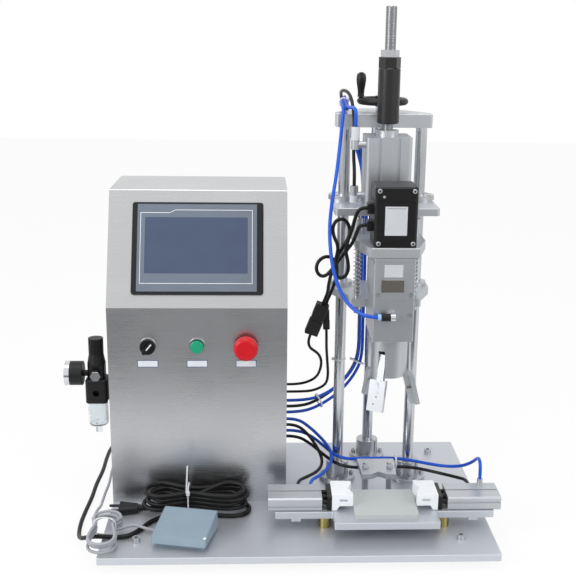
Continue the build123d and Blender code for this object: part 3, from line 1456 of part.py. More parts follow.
with BuildPart() as pedal_cord_hank:
    with BuildSketch(Plane.XY.offset(plate_top + rest_gap)):
        with Locations(at(*pedal_hank_place, 0)[:2]):
            RectangleRounded(pedal_hank_width, pedal_hank_length, 10)
    extrude(amount=pedal_hank_height)
    fillet(pedal_cord_hank.faces().sort_by(Axis.Z)[-1].edges(), 6)
    # Underneath, the power cord passes
    with BuildSketch(Plane.XY.offset(plate_top)):
        with Locations(at(pedal_hank_place[0], channel_y, 0)[:2]):
            Rectangle(pedal_hank_width + 2, 20)
    extrude(amount=power_cord_dia + 4, mode=Mode.SUBTRACT)
keep(pedal_cord_hank, "pedal_cord_hank")

cord_exit_y = cabinet_front + cabinet_depth + sheet + gland_reach
hank_front = power_hank_place[1] - power_hank_width / 2
with BuildPart() as power_cord:
    line_along([
        (42, cord_exit_y, 60), (42, 478, 60), (40, 510, 52), (33, 536, 32), (20, 554, 6), (0, 560, -16),
        (-26, 552, power_floor), (-48, 526, power_floor), (-60, 484, power_floor), (-62, 432, power_floor),
        (-60, 376, power_floor), (-64, 318, power_floor), (-64, 262, power_floor),
        (-66, 208, power_floor), (-66, 158, power_floor), (-58, 118, power_floor), (-46, 90, -13),
        (-30, 71, -1), (-11, channel_y + 1, 5.5), (10, channel_y, 4.6), (30, channel_y, power_rest),
        (45, 67, power_rest), (56, 80, power_rest), (65, 96, power_rest), (74, 113, power_rest),
        (88, 128, power_rest), (106, 138, power_rest),
    ], power_cord_dia)
keep(power_cord, "power_cord")

# Plug with a ribbed relief and two round pins
plug_end = power_hank_place[0] - power_hank_length / 2
plug_y = power_hank_place[1] - 3
plug_z = 8.1
relief_length = 18
plug_length = 32
pin_length = 19
with BuildPart() as power_plug:
    for rib in range(4):
        with BuildSketch(Plane(origin=at(plug_end - 4.5 * rib, plug_y, plug_z), z_dir=(-1, 0, 0))):
            Circle(5 + 0.6 * rib)
        extrude(amount=3)
    with BuildSketch(Plane(origin=at(plug_end, plug_y, plug_z), z_dir=(-1, 0, 0))):
        Circle(4.6)
    extrude(amount=relief_length)
    plug_plane = Plane(origin=at(plug_end - relief_length, plug_y, plug_z),
                       x_dir=(0, 1, 0), z_dir=(-1, 0, 0))
    with BuildSketch(plug_plane):
        RectangleRounded(20, 13, 6)
    with BuildSketch(plug_plane.offset(plug_length)):
        RectangleRounded(34, 15.4, 7)
    loft()
    with BuildSketch(plug_plane.offset(plug_length)):
        with Locations((-9.5, 0), (9.5, 0)):
            Circle(2.4)
    extrude(amount=pin_length)
keep(power_plug, "power_plug")

pedal_exit = pedal_place * Location((-pedal_width / 2 - relief_reach, pedal_exit_y, pedal_exit_z))
pedal_exit_at = (pedal_exit.position.X - plate_left, pedal_exit.position.Y - plate_front, pedal_exit_z)
pedal_next = pedal_place * Location((-pedal_width / 2 - relief_reach - 12, pedal_exit_y, pedal_exit_z))
pedal_exit_along = (pedal_next.position.X - plate_left, pedal_next.position.Y - plate_front, pedal_exit_z)
pedal_hank_right = pedal_hank_place[0] + pedal_hank_width / 2
pedal_hank_back = pedal_hank_place[1] + pedal_hank_length / 2
with BuildPart() as pedal_cord:
    line_along([
        pedal_exit_at, pedal_exit_along, (66, 86, 8.5), (54, 87.5, 12), (42, 86, 12), (31, 78, 11.5),
        (26, 66, 11.3),
    ], pedal_cord_dia)
    line_along([
        (-19, pedal_hank_back - 16, 18), (-19, pedal_hank_back + 4, 16), (-20, 160, 10), (-24, 184, 1),
        (-30, 212, -9), (-35, 242, -19),
        (-37, 276, pedal_floor), (-34, 326, pedal_floor), (-38, 378, pedal_floor),
        (-34, 430, pedal_floor), (-20, 474, pedal_floor), (6, 500, -21), (38, 509, -8), (66, 507, 14),
        (84, 496, 38), (90, 478, 60), (90, cord_exit_y, 60),
    ], pedal_cord_dia)
keep(pedal_cord, "pedal_cord")
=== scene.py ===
import math

import bpy
from bpy.props import FloatProperty, IntProperty, PointerProperty, StringProperty
from mathutils import Matrix, Vector


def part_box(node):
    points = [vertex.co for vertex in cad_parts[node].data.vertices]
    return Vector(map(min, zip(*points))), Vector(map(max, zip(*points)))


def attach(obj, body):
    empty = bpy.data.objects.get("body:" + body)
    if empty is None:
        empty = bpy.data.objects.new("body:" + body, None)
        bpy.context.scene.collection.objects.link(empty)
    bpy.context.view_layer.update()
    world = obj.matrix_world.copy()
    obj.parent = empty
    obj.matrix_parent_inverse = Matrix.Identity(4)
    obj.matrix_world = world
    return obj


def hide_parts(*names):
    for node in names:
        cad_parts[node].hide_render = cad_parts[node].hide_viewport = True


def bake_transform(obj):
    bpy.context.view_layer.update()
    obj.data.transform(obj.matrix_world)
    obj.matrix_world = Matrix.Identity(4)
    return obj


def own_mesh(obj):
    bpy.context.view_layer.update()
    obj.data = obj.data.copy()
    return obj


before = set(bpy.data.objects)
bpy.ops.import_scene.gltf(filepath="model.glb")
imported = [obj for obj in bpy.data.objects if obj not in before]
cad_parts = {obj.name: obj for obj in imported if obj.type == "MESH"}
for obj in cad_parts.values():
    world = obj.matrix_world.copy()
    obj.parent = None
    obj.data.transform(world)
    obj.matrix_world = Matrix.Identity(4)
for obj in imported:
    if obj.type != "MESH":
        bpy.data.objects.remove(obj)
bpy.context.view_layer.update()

bl_info = {
    "name": "Bottle capping machine",
    "version": (1, 0, 0),
    "blender": (4, 5, 0),
    "location": "View3D > Sidebar > Capping machine",
    "description": "Finishes, hoses, cords and trim for a bench-top bottle capping machine",
    "category": "Object",
}

# The plate's left front top corner in the row frame, in metres: places below are from it, in millimetres
BASE_LOW, BASE_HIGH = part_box("base_plate")
CORNER = Vector((BASE_LOW[0], BASE_LOW[1], BASE_HIGH[2]))


def place(x, y, z):
    """A point in the row frame from millimetres right, back and up of the plate's corner."""
    return CORNER + Vector((x, y, z)) / 1000


def to_linear(hex_colour):
    """An sRGB hex colour as the linear colour that a shader socket takes."""
    channels = [int(hex_colour[i:i + 2], 16) / 255 for i in (1, 3, 5)]
    linear = [c / 12.92 if c <= 0.04045 else ((c + 0.055) / 1.055) ** 2.4 for c in channels]
    return (*linear, 1.0)


# ---- settings


class MachineColours(bpy.types.PropertyGroup):
    """Colours of the machine's visible materials."""

    hose: StringProperty(name="Air hose", description="Blue polyurethane hose", default="#1554c9")
    stop: StringProperty(name="Stop button", description="Red mushroom head", default="#c9101e")
    start: StringProperty(name="Start button", description="Green push button", default="#1f9c74")
    pedal: StringProperty(name="Foot switch", description="Blue-grey moulded housing", default="#8496a3")
    pedal_cord: StringProperty(name="Pedal cord", description="Grey sheath", default="#a2a4ab")
    jaw: StringProperty(name="Jaw polymer", description="White milled jaws", default="#eef1f4")
    screen: StringProperty(name="Screen", description="Display glass when off", default="#46526b")
    membrane: StringProperty(name="Membrane", description="Panel surface round the screen",
                             default="#6a7380")


ACROSS = "Outer diameter"
TURNS = "Turns in the tied hank"


class MachineSizes(bpy.types.PropertyGroup):
    """Sizes of the pieces that are modelled here, in millimetres."""

    line: FloatProperty(name="Air line", description=ACROSS, default=6.0, min=3.0, max=12.0)
    lead: FloatProperty(name="Cabinet lead", description=ACROSS, default=5.0, min=3.0, max=9.0)
    motor_lead: FloatProperty(name="Motor lead", description=ACROSS, default=6.0, min=4.0, max=9.0)
    power_cord: FloatProperty(name="Power cord", description=ACROSS, default=7.5, min=5.0, max=10.0)
    pedal_cord: FloatProperty(name="Pedal cord", description=ACROSS, default=5.0, min=3.0, max=8.0)
    power_turns: IntProperty(name="Power cord turns", description=TURNS, default=5, min=2, max=6)
    pedal_turns: IntProperty(name="Pedal cord turns", description=TURNS, default=4, min=2, max=5)


# ---- materials


def new_material(name):
    """An empty node material with its Principled shader and output."""
    material = bpy.data.materials.new(name)
    material.use_nodes = True
    return material, material.node_tree, material.node_tree.nodes["Principled BSDF"]


def add_node(tree, kind, links=(), **settings):
    """Add a node, set its properties or inputs by name, and link (output, input) pairs into it."""
    node = tree.nodes.new(kind)
    for key, value in settings.items():
        if hasattr(node, key):
            setattr(node, key, value)
        else:
            node.inputs[key.replace("_", " ")].default_value = value
    for source, target in links:
        tree.links.new(source, node.inputs[target])
    return node


def set_shader(shader, **values):
    """Set inputs of a Principled shader by their names in lower case."""
    for key, value in values.items():
        shader.inputs[key.replace("_", " ").title().replace("Ior", "IOR")].default_value = value


def object_mapping(tree, scale):
    """Object coordinates in metres, stretched by a scale for each axis."""
    coordinates = add_node(tree, "ShaderNodeTexCoord")
    return add_node(tree, "ShaderNodeMapping", [(coordinates.outputs["Object"], "Vector")], Scale=scale)


def vary_colour(tree, shader, source, colour, amount):
    """Base colour that moves a little round its mean with a 0 to 1 pattern."""
    base = to_linear(colour)
    dark = tuple(c * (1 - amount) for c in base[:3]) + (1,)
    light = tuple(min(1, c * (1 + amount)) for c in base[:3]) + (1,)
    mix = add_node(tree, "ShaderNodeMix", data_type="RGBA")
    mix.inputs[6].default_value = dark
    mix.inputs[7].default_value = light
    tree.links.new(source, mix.inputs[0])
    tree.links.new(mix.outputs[2], shader.inputs["Base Color"])


def vary_roughness(tree, shader, source, low, high):
    """Roughness between two values with a 0 to 1 pattern."""
    span = add_node(tree, "ShaderNodeMapRange", [(source, "Value")])
    span.inputs["To Min"].default_value = low
    span.inputs["To Max"].default_value = high
    tree.links.new(span.outputs["Result"], shader.inputs["Roughness"])


def add_bump(tree, shader, source, height_mm, strength=1.0):
    """Bump of a real height in millimetres."""
    bump = add_node(tree, "ShaderNodeBump", [(source, "Height")], Strength=strength,
                    Distance=height_mm / 1000)
    tree.links.new(bump.outputs["Normal"], shader.inputs["Normal"])


def brushed_metal(name, colour, rough, grain, metallic=1.0, depth=0.02):
    """Sheet or bar with a one-way grain: long fine lines break the reflections along one axis."""
    material, tree, shader = new_material(name)
    mapping = object_mapping(tree, grain)
    lines = add_node(tree, "ShaderNodeTexNoise", [(mapping.outputs["Vector"], "Vector")],
                     Scale=1.0, Detail=4.0, Roughness=0.6)
    cloud_map = object_mapping(tree, (9, 9, 9))
    clouds = add_node(tree, "ShaderNodeTexNoise", [(cloud_map.outputs["Vector"], "Vector")],
                      Scale=1.0, Detail=2.0)
    blend = add_node(tree, "ShaderNodeMath", operation="MULTIPLY")
    tree.links.new(lines.outputs["Fac"], blend.inputs[0])
    tree.links.new(clouds.outputs["Fac"], blend.inputs[1])
    set_shader(shader, metallic=metallic)
    vary_colour(tree, shader, lines.outputs["Fac"], colour, 0.06)
    vary_roughness(tree, shader, blend.outputs["Value"], rough - 0.08, rough + 0.16)
    add_bump(tree, shader, lines.outputs["Fac"], depth)
    return material


def polished_metal(name, colour, rough=0.12):
    """Ground or plated metal: nearly mirror-like, with faint uneven sheen from handling."""
    material, tree, shader = new_material(name)
    mapping = object_mapping(tree, (60, 60, 60))
    haze = add_node(tree, "ShaderNodeTexNoise", [(mapping.outputs["Vector"], "Vector")],
                    Scale=1.0, Detail=3.0)
    set_shader(shader, metallic=1.0)
    vary_colour(tree, shader, haze.outputs["Fac"], colour, 0.03)
    vary_roughness(tree, shader, haze.outputs["Fac"], rough * 0.7, rough * 1.5)
    return material


def moulded_plastic(name, colour, rough=0.4, grain_mm=0.5, depth=0.01, gloss=0.35):
    """Injection moulding: an even colour with a fine spark-eroded grain in the highlights."""
    material, tree, shader = new_material(name)
    mapping = object_mapping(tree, (1000 / grain_mm,) * 3)
    grain = add_node(tree, "ShaderNodeTexNoise", [(mapping.outputs["Vector"], "Vector")],
                     Scale=1.0, Detail=2.0)
    patch_map = object_mapping(tree, (30, 30, 30))
    patches = add_node(tree, "ShaderNodeTexNoise", [(patch_map.outputs["Vector"], "Vector")],
                       Scale=1.0, Detail=3.0)
    vary_colour(tree, shader, patches.outputs["Fac"], colour, 0.08)
    vary_roughness(tree, shader, patches.outputs["Fac"], rough - 0.06, rough + 0.08)
    shader.inputs["Specular IOR Level"].default_value = gloss
    add_bump(tree, shader, grain.outputs["Fac"], depth)
    return material


def extruded_sheath(name, colour, rough=0.3):
    """Extruded hose or cable sheath: smooth, slightly waxy, with slow changes of sheen."""
    material, tree, shader = new_material(name)
    mapping = object_mapping(tree, (70, 70, 70))
    sheen = add_node(tree, "ShaderNodeTexNoise", [(mapping.outputs["Vector"], "Vector")],
                     Scale=1.0, Detail=2.0)
    vary_colour(tree, shader, sheen.outputs["Fac"], colour, 0.07)
    vary_roughness(tree, shader, sheen.outputs["Fac"], rough - 0.05, rough + 0.1)
    shader.inputs["Specular IOR Level"].default_value = 0.3
    return material


def clear_plastic(name, colour, transmission, rough):
    """See-through moulding: light passes and bends a little, edges look denser."""
    material, tree, shader = new_material(name)
    mapping = object_mapping(tree, (40, 40, 40))
    haze = add_node(tree, "ShaderNodeTexNoise", [(mapping.outputs["Vector"], "Vector")],
                    Scale=1.0, Detail=1.0)
    vary_colour(tree, shader, haze.outputs["Fac"], colour, 0.02)
    vary_roughness(tree, shader, haze.outputs["Fac"], rough, rough + 0.05)
    set_shader(shader, transmission_weight=transmission, ior=1.45)
    return material


def make_materials(colours):
    """Every material by a short key."""
    fine, long = 2600, 9
    return {
        "cabinet": brushed_metal("cabinet_brushed_stainless", "#bdbec0", 0.3, (long, fine, fine / 2)),
        "plate": brushed_metal("base_plate_anodised_aluminium", "#c6c9d0", 0.42, (12, 900, 900), 0.65),
        "machined": brushed_metal("machined_clear_anodised_aluminium", "#bec1c5", 0.38, (40, 700, 700),
                                  0.75),
        "upright": brushed_metal("milled_aluminium_vertical_grain", "#b9bcc0", 0.36, (700, 700, 30), 0.8),
        "finger": brushed_metal("fingers_milled_aluminium", "#c3c6ca", 0.4, (600, 600, 60), 0.85, 0.008),
        "columns": polished_metal("columns_ground_chromed_steel", "#c4c7cb", 0.14),
        "turned": brushed_metal("turned_zinc_plated_steel", "#b9bbbf", 0.34, (300, 300, 300), 0.8),
        "chrome": polished_metal("control_rings_polished_chrome", "#d4d6d9", 0.08),
        "thread": brushed_metal("threaded_rod_rolled_steel", "#85878a", 0.34, (0.1, 0.1, 560), 1.0, 0.5),
        "brass": polished_metal("standoffs_turned_brass", "#a89a62", 0.3),
        "black_oxide": brushed_metal("stop_sleeve_black_oxide_steel", "#0c0c0e", 0.36, (900, 900, 40), 0.0),
        "black_paint": moulded_plastic("motor_satin_black_paint", "#08080a", 0.34, 0.8),
        "black": moulded_plastic("black_moulded_polyamide", "#08080a", 0.42),
        "rubber": moulded_plastic("feet_black_rubber", "#0e0e0f", 0.65, 1.0, 0.03),
        "bezel": moulded_plastic("panel_bezel_black_moulding", "#0e0f12", 0.36),
        "red": moulded_plastic("stop_button_red_moulding", colours.stop, 0.32),
        "green": moulded_plastic("start_button_green_moulding", colours.start, 0.3),
        "jaw": moulded_plastic("jaws_white_milled_polymer", colours.jaw, 0.5, 1.5),
        "pad": clear_plastic("rest_pad_translucent_polymer", "#dfe8e6", 0.35, 0.35),
        "bowl": clear_plastic("filter_bowl_clear_polycarbonate", "#eef3f5", 0.95, 0.05),
        "pedal": moulded_plastic("foot_switch_blue_grey_moulding", colours.pedal, 0.42, 0.6),
        "hose": extruded_sheath("air_hose_blue_polyurethane", colours.hose, 0.28),
        "black_hose": extruded_sheath("air_hose_black_polyurethane", "#08080a", 0.32),
        "cable": extruded_sheath("cable_black_sheath", "#09090a", 0.42),
        "pedal_cord": extruded_sheath("pedal_cord_grey_sheath", colours.pedal_cord, 0.45),
        "screen": moulded_plastic("screen_glass", colours.screen, 0.16, 5.0, 0.001),
        "membrane": moulded_plastic("panel_membrane_grey", colours.membrane, 0.45, 0.4),
        "white": moulded_plastic("white_printed_line", "#eceef0", 0.5, 2.0, 0.002),
        "label": moulded_plastic("label_white_card", "#dfe3e8", 0.5, 2.0, 0.002),
        "label_edge": moulded_plastic("label_blue_grey_border", "#5f6f8c", 0.5, 2.0, 0.002),
        "bronze": brushed_metal("rating_plate_dark_aluminium", "#77726c", 0.4, (900, 900, 900), 0.8),
        "sticker": moulded_plastic("motor_sticker_silver_film", "#c9ccd0", 0.4, 2.0, 0.002),
        "tie": clear_plastic("cable_tie_natural_polyamide", "#e9ecef", 0.2, 0.35),
        "collet": moulded_plastic("collet_pale_blue_moulding", "#9cc4ea", 0.35),
        "white_fitting": moulded_plastic("elbow_fitting_pale_moulding", "#d7dade", 0.35),
        # Flat black: painted shade where it covers screw sockets and small holes; on the gauge it is the
        # real black print, needle and boss
        "hole_shade_and_black_print": moulded_plastic("black_print_and_painted_hole_shade", "#050506", 0.7),
    }


# ---- meshes and curves


def link(name, data, key, body):
    """A new object with the material of that key, riding on a body."""
    piece = bpy.data.objects.new(name, data)
    bpy.context.collection.objects.link(piece)
    if hasattr(data, "materials") and not data.materials:
        data.materials.append(MATERIALS[key])
    if body:
        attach(piece, body)
    return piece


def smooth_line(name, points, diameter, key, body):
    """A round line along control points in the row frame, as one NURBS spline."""
    curve = bpy.data.curves.new(name, "CURVE")
    curve.dimensions = "3D"
    curve.bevel_depth = 1
    curve.bevel_resolution = 5
    curve.use_fill_caps = True
    curve.resolution_u = 8
    spline = curve.splines.new("NURBS")
    spline.points.add(len(points) - 1)
    for control, point in zip(spline.points, points):
        control.co = (*point, 1)
        control.radius = diameter / 2000
    spline.order_u = 3
    spline.use_endpoint_u = True
    return link(name, curve, key, body)


def line_length(piece):
    """The length of a curve object's own line, and its points."""
    bevel = piece.data.bevel_depth
    piece.data.bevel_depth = 0
    bpy.context.view_layer.update()
    mesh = bpy.data.meshes.new_from_object(piece.evaluated_get(bpy.context.evaluated_depsgraph_get()))
    piece.data.bevel_depth = bevel
    path = [vertex.co.copy() for vertex in mesh.vertices]
    bpy.data.meshes.remove(mesh)
    return sum((b - a).length for a, b in zip(path, path[1:])), path


def block(name, size, centre, key, body, turn=None, edge=0.0005, segments=2):
    """A box with rounded edges: size and centre in metres, turned by an optional rotation."""
    x, y, z = (side / 2 for side in size)
    corners = [(sx * x, sy * y, sz * z) for sx in (-1, 1) for sy in (-1, 1) for sz in (-1, 1)]
    faces = [(0, 1, 3, 2), (4, 6, 7, 5), (0, 4, 5, 1), (2, 3, 7, 6), (0, 2, 6, 4), (1, 5, 7, 3)]
    mesh = bpy.data.meshes.new(name)
    matrix = Matrix.Translation(centre) @ (turn.to_4x4() if turn else Matrix.Identity(4))
    mesh.from_pydata([matrix @ Vector(c) for c in corners], [], faces)
    piece = link(name, mesh, key, body)
    bevel = piece.modifiers.new("edges", "BEVEL")
    bevel.width = min(edge, min(size) * 0.45)
    bevel.segments = segments
    return piece


def turned(name, profile, centre, axis, key, body, steps=40):
    """A turned form: (radius, height) pairs in metres round an axis through a centre."""
    turn = Vector((0, 0, 1)).rotation_difference(Vector(axis)).to_matrix().to_4x4()
    matrix = Matrix.Translation(centre) @ turn
    vertices, faces = [], []
    for radius, height in profile:
        for step in range(steps):
            angle = 2 * math.pi * step / steps
            vertices.append(matrix @ Vector((radius * math.cos(angle), radius * math.sin(angle), height)))
    for ring in range(len(profile) - 1):
        for step in range(steps):
            after = (step + 1) % steps
            a, b = ring * steps, (ring + 1) * steps
            faces.append((a + step, a + after, b + after, b + step))
    mesh = bpy.data.meshes.new(name)
    mesh.from_pydata(vertices, [], faces)
    mesh.shade_smooth()
    mesh.set_sharp_from_angle(angle=math.radians(35))
    return link(name, mesh, key, body)


def screw_head(name, centre, axis, radius, height, body):
    """A socket cap screw's head: knurled side left plain, with its socket drawn as a flat black disc,
    painted shade for the recess.
    """
    turned(name, [(0, height), (radius * 0.85, height), (radius, height - radius * 0.15), (radius, 0)],
           centre, axis, "turned", body, 24)
    out = Vector(axis).normalized() * (height + 0.00015)
    turned(name + "_socket", [(0, 0), (radius * 0.5, 0)], Vector(centre) + out, axis, "hole_shade_and_black_print", body, 6)


# ---- cord and line routes: millimetres from the plate's corner, as in the part's source
# Behind and beside the plate the power and pedal cords lie nearer the cabinet, by up to two diameters

WALL_X = 314
HEAD_LINE = [
    (WALL_X, 350, 134), (345, 350, 134), (378, 358, 138), (411, 371, 153), (439, 383, 177),
    (456.5, 389.5, 212), (455.5, 390.5, 285), (456.5, 389.5, 360), (455.5, 390.5, 432),
    (456.5, 389.5, 500), (454.5, 390.5, 558), (446.5, 393.5, 598), (431.5, 395.5, 636),
    (417.5, 391.5, 671), (409.5, 371.5, 698), (405.5, 341.5, 708), (403.5, 311.5, 708), (404.5, 284.5, 700),
]
TOOL_HIGH_LINE = [
    (WALL_X, 350, 110), (345, 350, 110), (380, 360, 120), (415, 374, 139), (445, 387, 168),
    (463, 393, 205), (462, 394, 280), (463, 393, 355), (462, 394, 430), (463, 393, 500), (461, 394, 560),
    (453, 397, 602), (438, 399, 640), (424, 395, 675), (416, 375, 702), (412, 345, 712), (410, 315, 712),
    (411, 288, 704),
]
TOOL_LOW_LINE = [
    (WALL_X, 350, 122), (345, 350, 122), (376, 363, 130), (408, 380, 146), (438, 393, 173),
    (456, 399, 210), (455, 400, 285), (456, 399, 360), (455, 400, 435), (456, 399, 505), (454, 400, 565),
    (446, 403, 607), (431, 405, 645), (417, 401, 680), (409, 383, 708), (406, 356, 721), (412, 328, 724),
    (419, 302, 717), (420, 279, 705),
]
LEFT_BLUE_LINE = [
    (WALL_X, 350, 96), (336, 350, 96), (360, 335, 84), (382, 312, 70), (396, 286, 60),
    (397, 258, 52), (388, 232, 47), (374, 208, 45), (352, 186, 44), (352, 161, 44),
]
LEFT_BLACK_LINE = [
    (WALL_X, 350, 84), (334, 350, 84), (355, 334, 72), (371, 309, 57), (380, 280, 46),
    (378, 254, 42), (368, 230, 41), (350, 208, 42), (330, 186, 44), (330, 161, 44),
]
RIGHT_BLUE_LINE = [
    (WALL_X, 350, 72), (338, 350, 72), (364, 334, 66), (386, 304, 58), (403, 272, 55), (424, 258, 53),
    (452, 262, 52), (484, 268, 50), (514, 272, 48), (546, 269, 45), (580, 258, 42), (610, 242, 44),
    (634, 222, 54), (648, 200, 72), (651, 178, 90), (650, 158, 98), (649, 141, 92), (649, 141, 68),
]
RIGHT_BLACK_LINE = [
    (WALL_X, 350, 60), (336, 350, 60), (360, 328, 54), (384, 288, 48), (404, 256, 45), (430, 243, 43),
    (460, 246, 41), (490, 254, 39), (520, 258, 37), (550, 256, 36), (578, 246, 34), (604, 228, 35),
    (624, 206, 39), (636, 186, 44), (636, 161, 44),
]
DRIVE_PLUG = ((353, 235, 306), (372.7, 225, 362.4))
SENSOR_PLUG = ((381, 247, 311), (379.5, 243, 346))


def past_end(start, end, reach):
    """A place beyond the end of a straight piece, on its own line."""
    along = (Vector(end) - Vector(start)).normalized()
    return tuple(Vector(end) + along * reach)


DRIVE_LEAD = [
    (WALL_X, 350, 167), (336, 350, 167), (356, 338, 177), (369, 316, 194), (374, 290, 217),
    (375, 268, 241), (370, 252, 259), (362, 247, 268), (353, 243, 275), (349, 240, 284),
    past_end(DRIVE_PLUG[1], DRIVE_PLUG[0], 11), DRIVE_PLUG[0],
]
SENSOR_LEAD = [
    (WALL_X, 350, 152), (338, 350, 152), (362, 338, 158), (379, 318, 173), (387, 296, 190),
    (388, 276, 214), (385, 260, 243), (382, 251, 274),
    past_end(SENSOR_PLUG[1], SENSOR_PLUG[0], 16), SENSOR_PLUG[0],
]
HEAD_HOSE = [
    HEAD_LINE[-1], past_end(*HEAD_LINE[-2:], 14), (402, 257, 677), (396, 230, 634), (389, 198, 592),
    (381, 172, 555), (376, 152, 520), (376.5, 139, 485), (381, 127, 450), (391, 114, 418),
    (406, 98, 396), (424, 80, 386), (442, 70, 384), (456.5, 70, 384),
]
CYLINDER_HOSE_LOW = [
    TOOL_LOW_LINE[-1], past_end(*TOOL_LOW_LINE[-2:], 16), (421.5, 252, 681), (421, 243, 650),
    (420.5, 238, 620), (421.5, 222, 596), (421.5, 222, 571.5),
]
CYLINDER_HOSE_HIGH = [
    TOOL_HIGH_LINE[-1], past_end(*TOOL_HIGH_LINE[-2:], 14), (414, 259, 699), (419, 243, 701),
    (421.5, 225, 698), (421.5, 222, 684), (421.5, 222, 671),
]
DRIVE_CABLE = [
    (433.5, 121, 552), (422, 121, 552), (416, 126, 538), (412, 131, 517), (406, 136, 497),
    (402, 139, 477), (407, 140, 459), (408, 140, 443), (401, 141, 431), (390, 142, 431), (385, 145, 443),
    (388, 150, 462), (399, 155, 480), (410, 157, 498), (410, 157, 514), (401, 157, 527),
    (388, 156, 526), (381, 154, 514), (383, 151, 499), (391, 148, 484), (389, 148, 466), (381, 153, 438),
    (378, 174, 410), (379, 201, 390), past_end(*DRIVE_PLUG, 12), DRIVE_PLUG[1],
]
SENSOR_CABLE = [
    (433.5, 121, 524), (422, 121, 524), (419, 129, 510), (415, 144, 491), (405, 160, 472),
    (393, 166, 454), (382, 167, 438), (372, 167, 427), (362, 167, 428), (356, 168, 438),
    (358, 169, 450), (367, 171, 459), (379, 174, 460), (390, 178, 450), (393, 186, 432), (391, 204, 406),
    (385, 226, 380), past_end(*SENSOR_PLUG, 14), SENSOR_PLUG[1],
]
# Heights of the power cord's middle on the table and on the plate
POWER_FLOOR = -22.95
POWER_REST = 4.05
POWER_TAIL = [
    (42, 453, 60), (42, 478, 60), (40, 510, 52), (33, 536, 32), (20, 554, 6), (0, 560, -16),
    (-22, 546, POWER_FLOOR), (-39, 520, POWER_FLOOR), (-47, 480, POWER_FLOOR), (-48, 430, POWER_FLOOR),
    (-46, 376, POWER_FLOOR), (-50, 318, POWER_FLOOR), (-49, 262, POWER_FLOOR), (-52, 208, POWER_FLOOR),
    (-53, 158, POWER_FLOOR), (-49, 118, POWER_FLOOR), (-40, 90, -13), (-27, 71, -1), (-11, 63, 5.5),
    (10, 62, 4.6), (30, 62, POWER_REST), (45, 67, POWER_REST), (56, 80, POWER_REST), (65, 96, POWER_REST),
    (74, 113, POWER_REST), (88, 128, POWER_REST), (106, 138, POWER_REST),
]
# The power cord's hank: its middle, where its tie sits along it, and half its length and width
POWER_HANK = (152, 160)
POWER_WAIST = -0.15
POWER_HANK_HALF = (92.5, 27.2)
POWER_SECOND_LEVEL = 16.4
POWER_LEVEL_STEP = 8.3
PEDAL_FLOOR = -24.2
PEDAL_EXIT = [(89.4, 80.5, 6), (77.7, 83, 6), (66, 86, 8.5), (54, 87.5, 12), (42, 86, 12), (31, 78, 11.5)]
PEDAL_TAIL = [
    (-19, 116, 18), (-18, 136, 16), (-17, 160, 10), (-19, 184, 1), (-23, 212, -9), (-26, 242, -19),
    (-28, 276, PEDAL_FLOOR), (-26, 326, PEDAL_FLOOR), (-30, 378, PEDAL_FLOOR), (-28, 430, PEDAL_FLOOR),
    (-20, 474, PEDAL_FLOOR), (6, 500, -21), (38, 509, -8), (66, 507, 14), (84, 496, 38), (90, 478, 60),
    (90, 453, 60),
]
# The pedal cord's hank: its middle, and half its width and length
PEDAL_HANK = (4, 70)
PEDAL_HANK_HALF = (23, 59)
PEDAL_FIRST_LEVEL = 2.8
PEDAL_LEVEL_STEP = 5.2
# Control points of a loop's end stand out by these shares, because the spline cuts inside them
LOOP_ALONG = 1.08
LOOP_ACROSS = 1.05


def power_waist(share):
    """The same draw-in, with the tie a little left of the middle."""
    return waist((share - POWER_WAIST) / (1 + abs(POWER_WAIST)))


def waist(share):
    """How far the strands draw in from -1 to 1 along a hank: full at the tie, none at the ends."""
    return math.cos(min(1, abs(share) * 1.25) * math.pi / 2) ** 2


def loop_end(middle_x, middle_y, reach_x, reach_y, degrees, level):
    """Points round one end of a loop, at one level."""
    angles = [math.radians(degree) for degree in degrees]
    return [(middle_x + reach_x * math.cos(angle), middle_y + reach_y * math.sin(angle), level)
            for angle in angles]


def power_hank_points(turns):
    """The power cord's hank: stacked loops along X, drawn in at the middle by the tie."""
    cx, cy = POWER_HANK
    half_x, half_y = POWER_HANK_HALF
    points = []
    for turn in range(turns):
        level = POWER_REST if turn == 0 else POWER_SECOND_LEVEL + POWER_LEVEL_STEP * (turn - 1)
        rise = POWER_SECOND_LEVEL - POWER_REST if turn == 0 else POWER_LEVEL_STEP
        reach = half_x - 3.2 * (turn * 2 % 5)
        width = half_y - 0.9 * (turn * 3 % 4)
        end = reach - width
        # Front run to the right, with the next level reached on the way back at the rear
        if turn == 0:
            front = [-0.12, 0.15, 0.42]
        else:
            front = [-0.78, -0.48, -0.16, 0.16, 0.48]
        for share in front:
            points.append((cx + share * end, cy - width + 14 * power_waist(share), level))
        points += loop_end(cx + end, cy, width * LOOP_ALONG, width * LOOP_ACROSS, (-90, -45, 0, 45, 90),
                           level)
        if turn == turns - 1:
            break
        for share in (0.48, 0.16, -0.16, -0.48, -0.78):
            up = level + rise * (0.5 - share / 1.6)
            points.append((cx + share * end, cy + width - 14 * power_waist(share), up))
        points += loop_end(cx - end, cy, width * LOOP_ALONG, width * LOOP_ACROSS, (90, 135, 180, 225, 270),
                           level + rise)
    return points, level


def lead_out(level):
    """From the last loop down through the hank's middle and out to the plug."""
    cx, cy = POWER_HANK
    return [(cx + 36, cy + 17, level), (cx + 12, cy + 3, level - 6), (cx - 14, cy - 1, level - 18),
            (cx - 42, cy - 2, 18), (cx - 68, cy - 3, 9), (cx - 82, cy - 3, 8.1), (cx - 95, cy - 3, 8.1)]


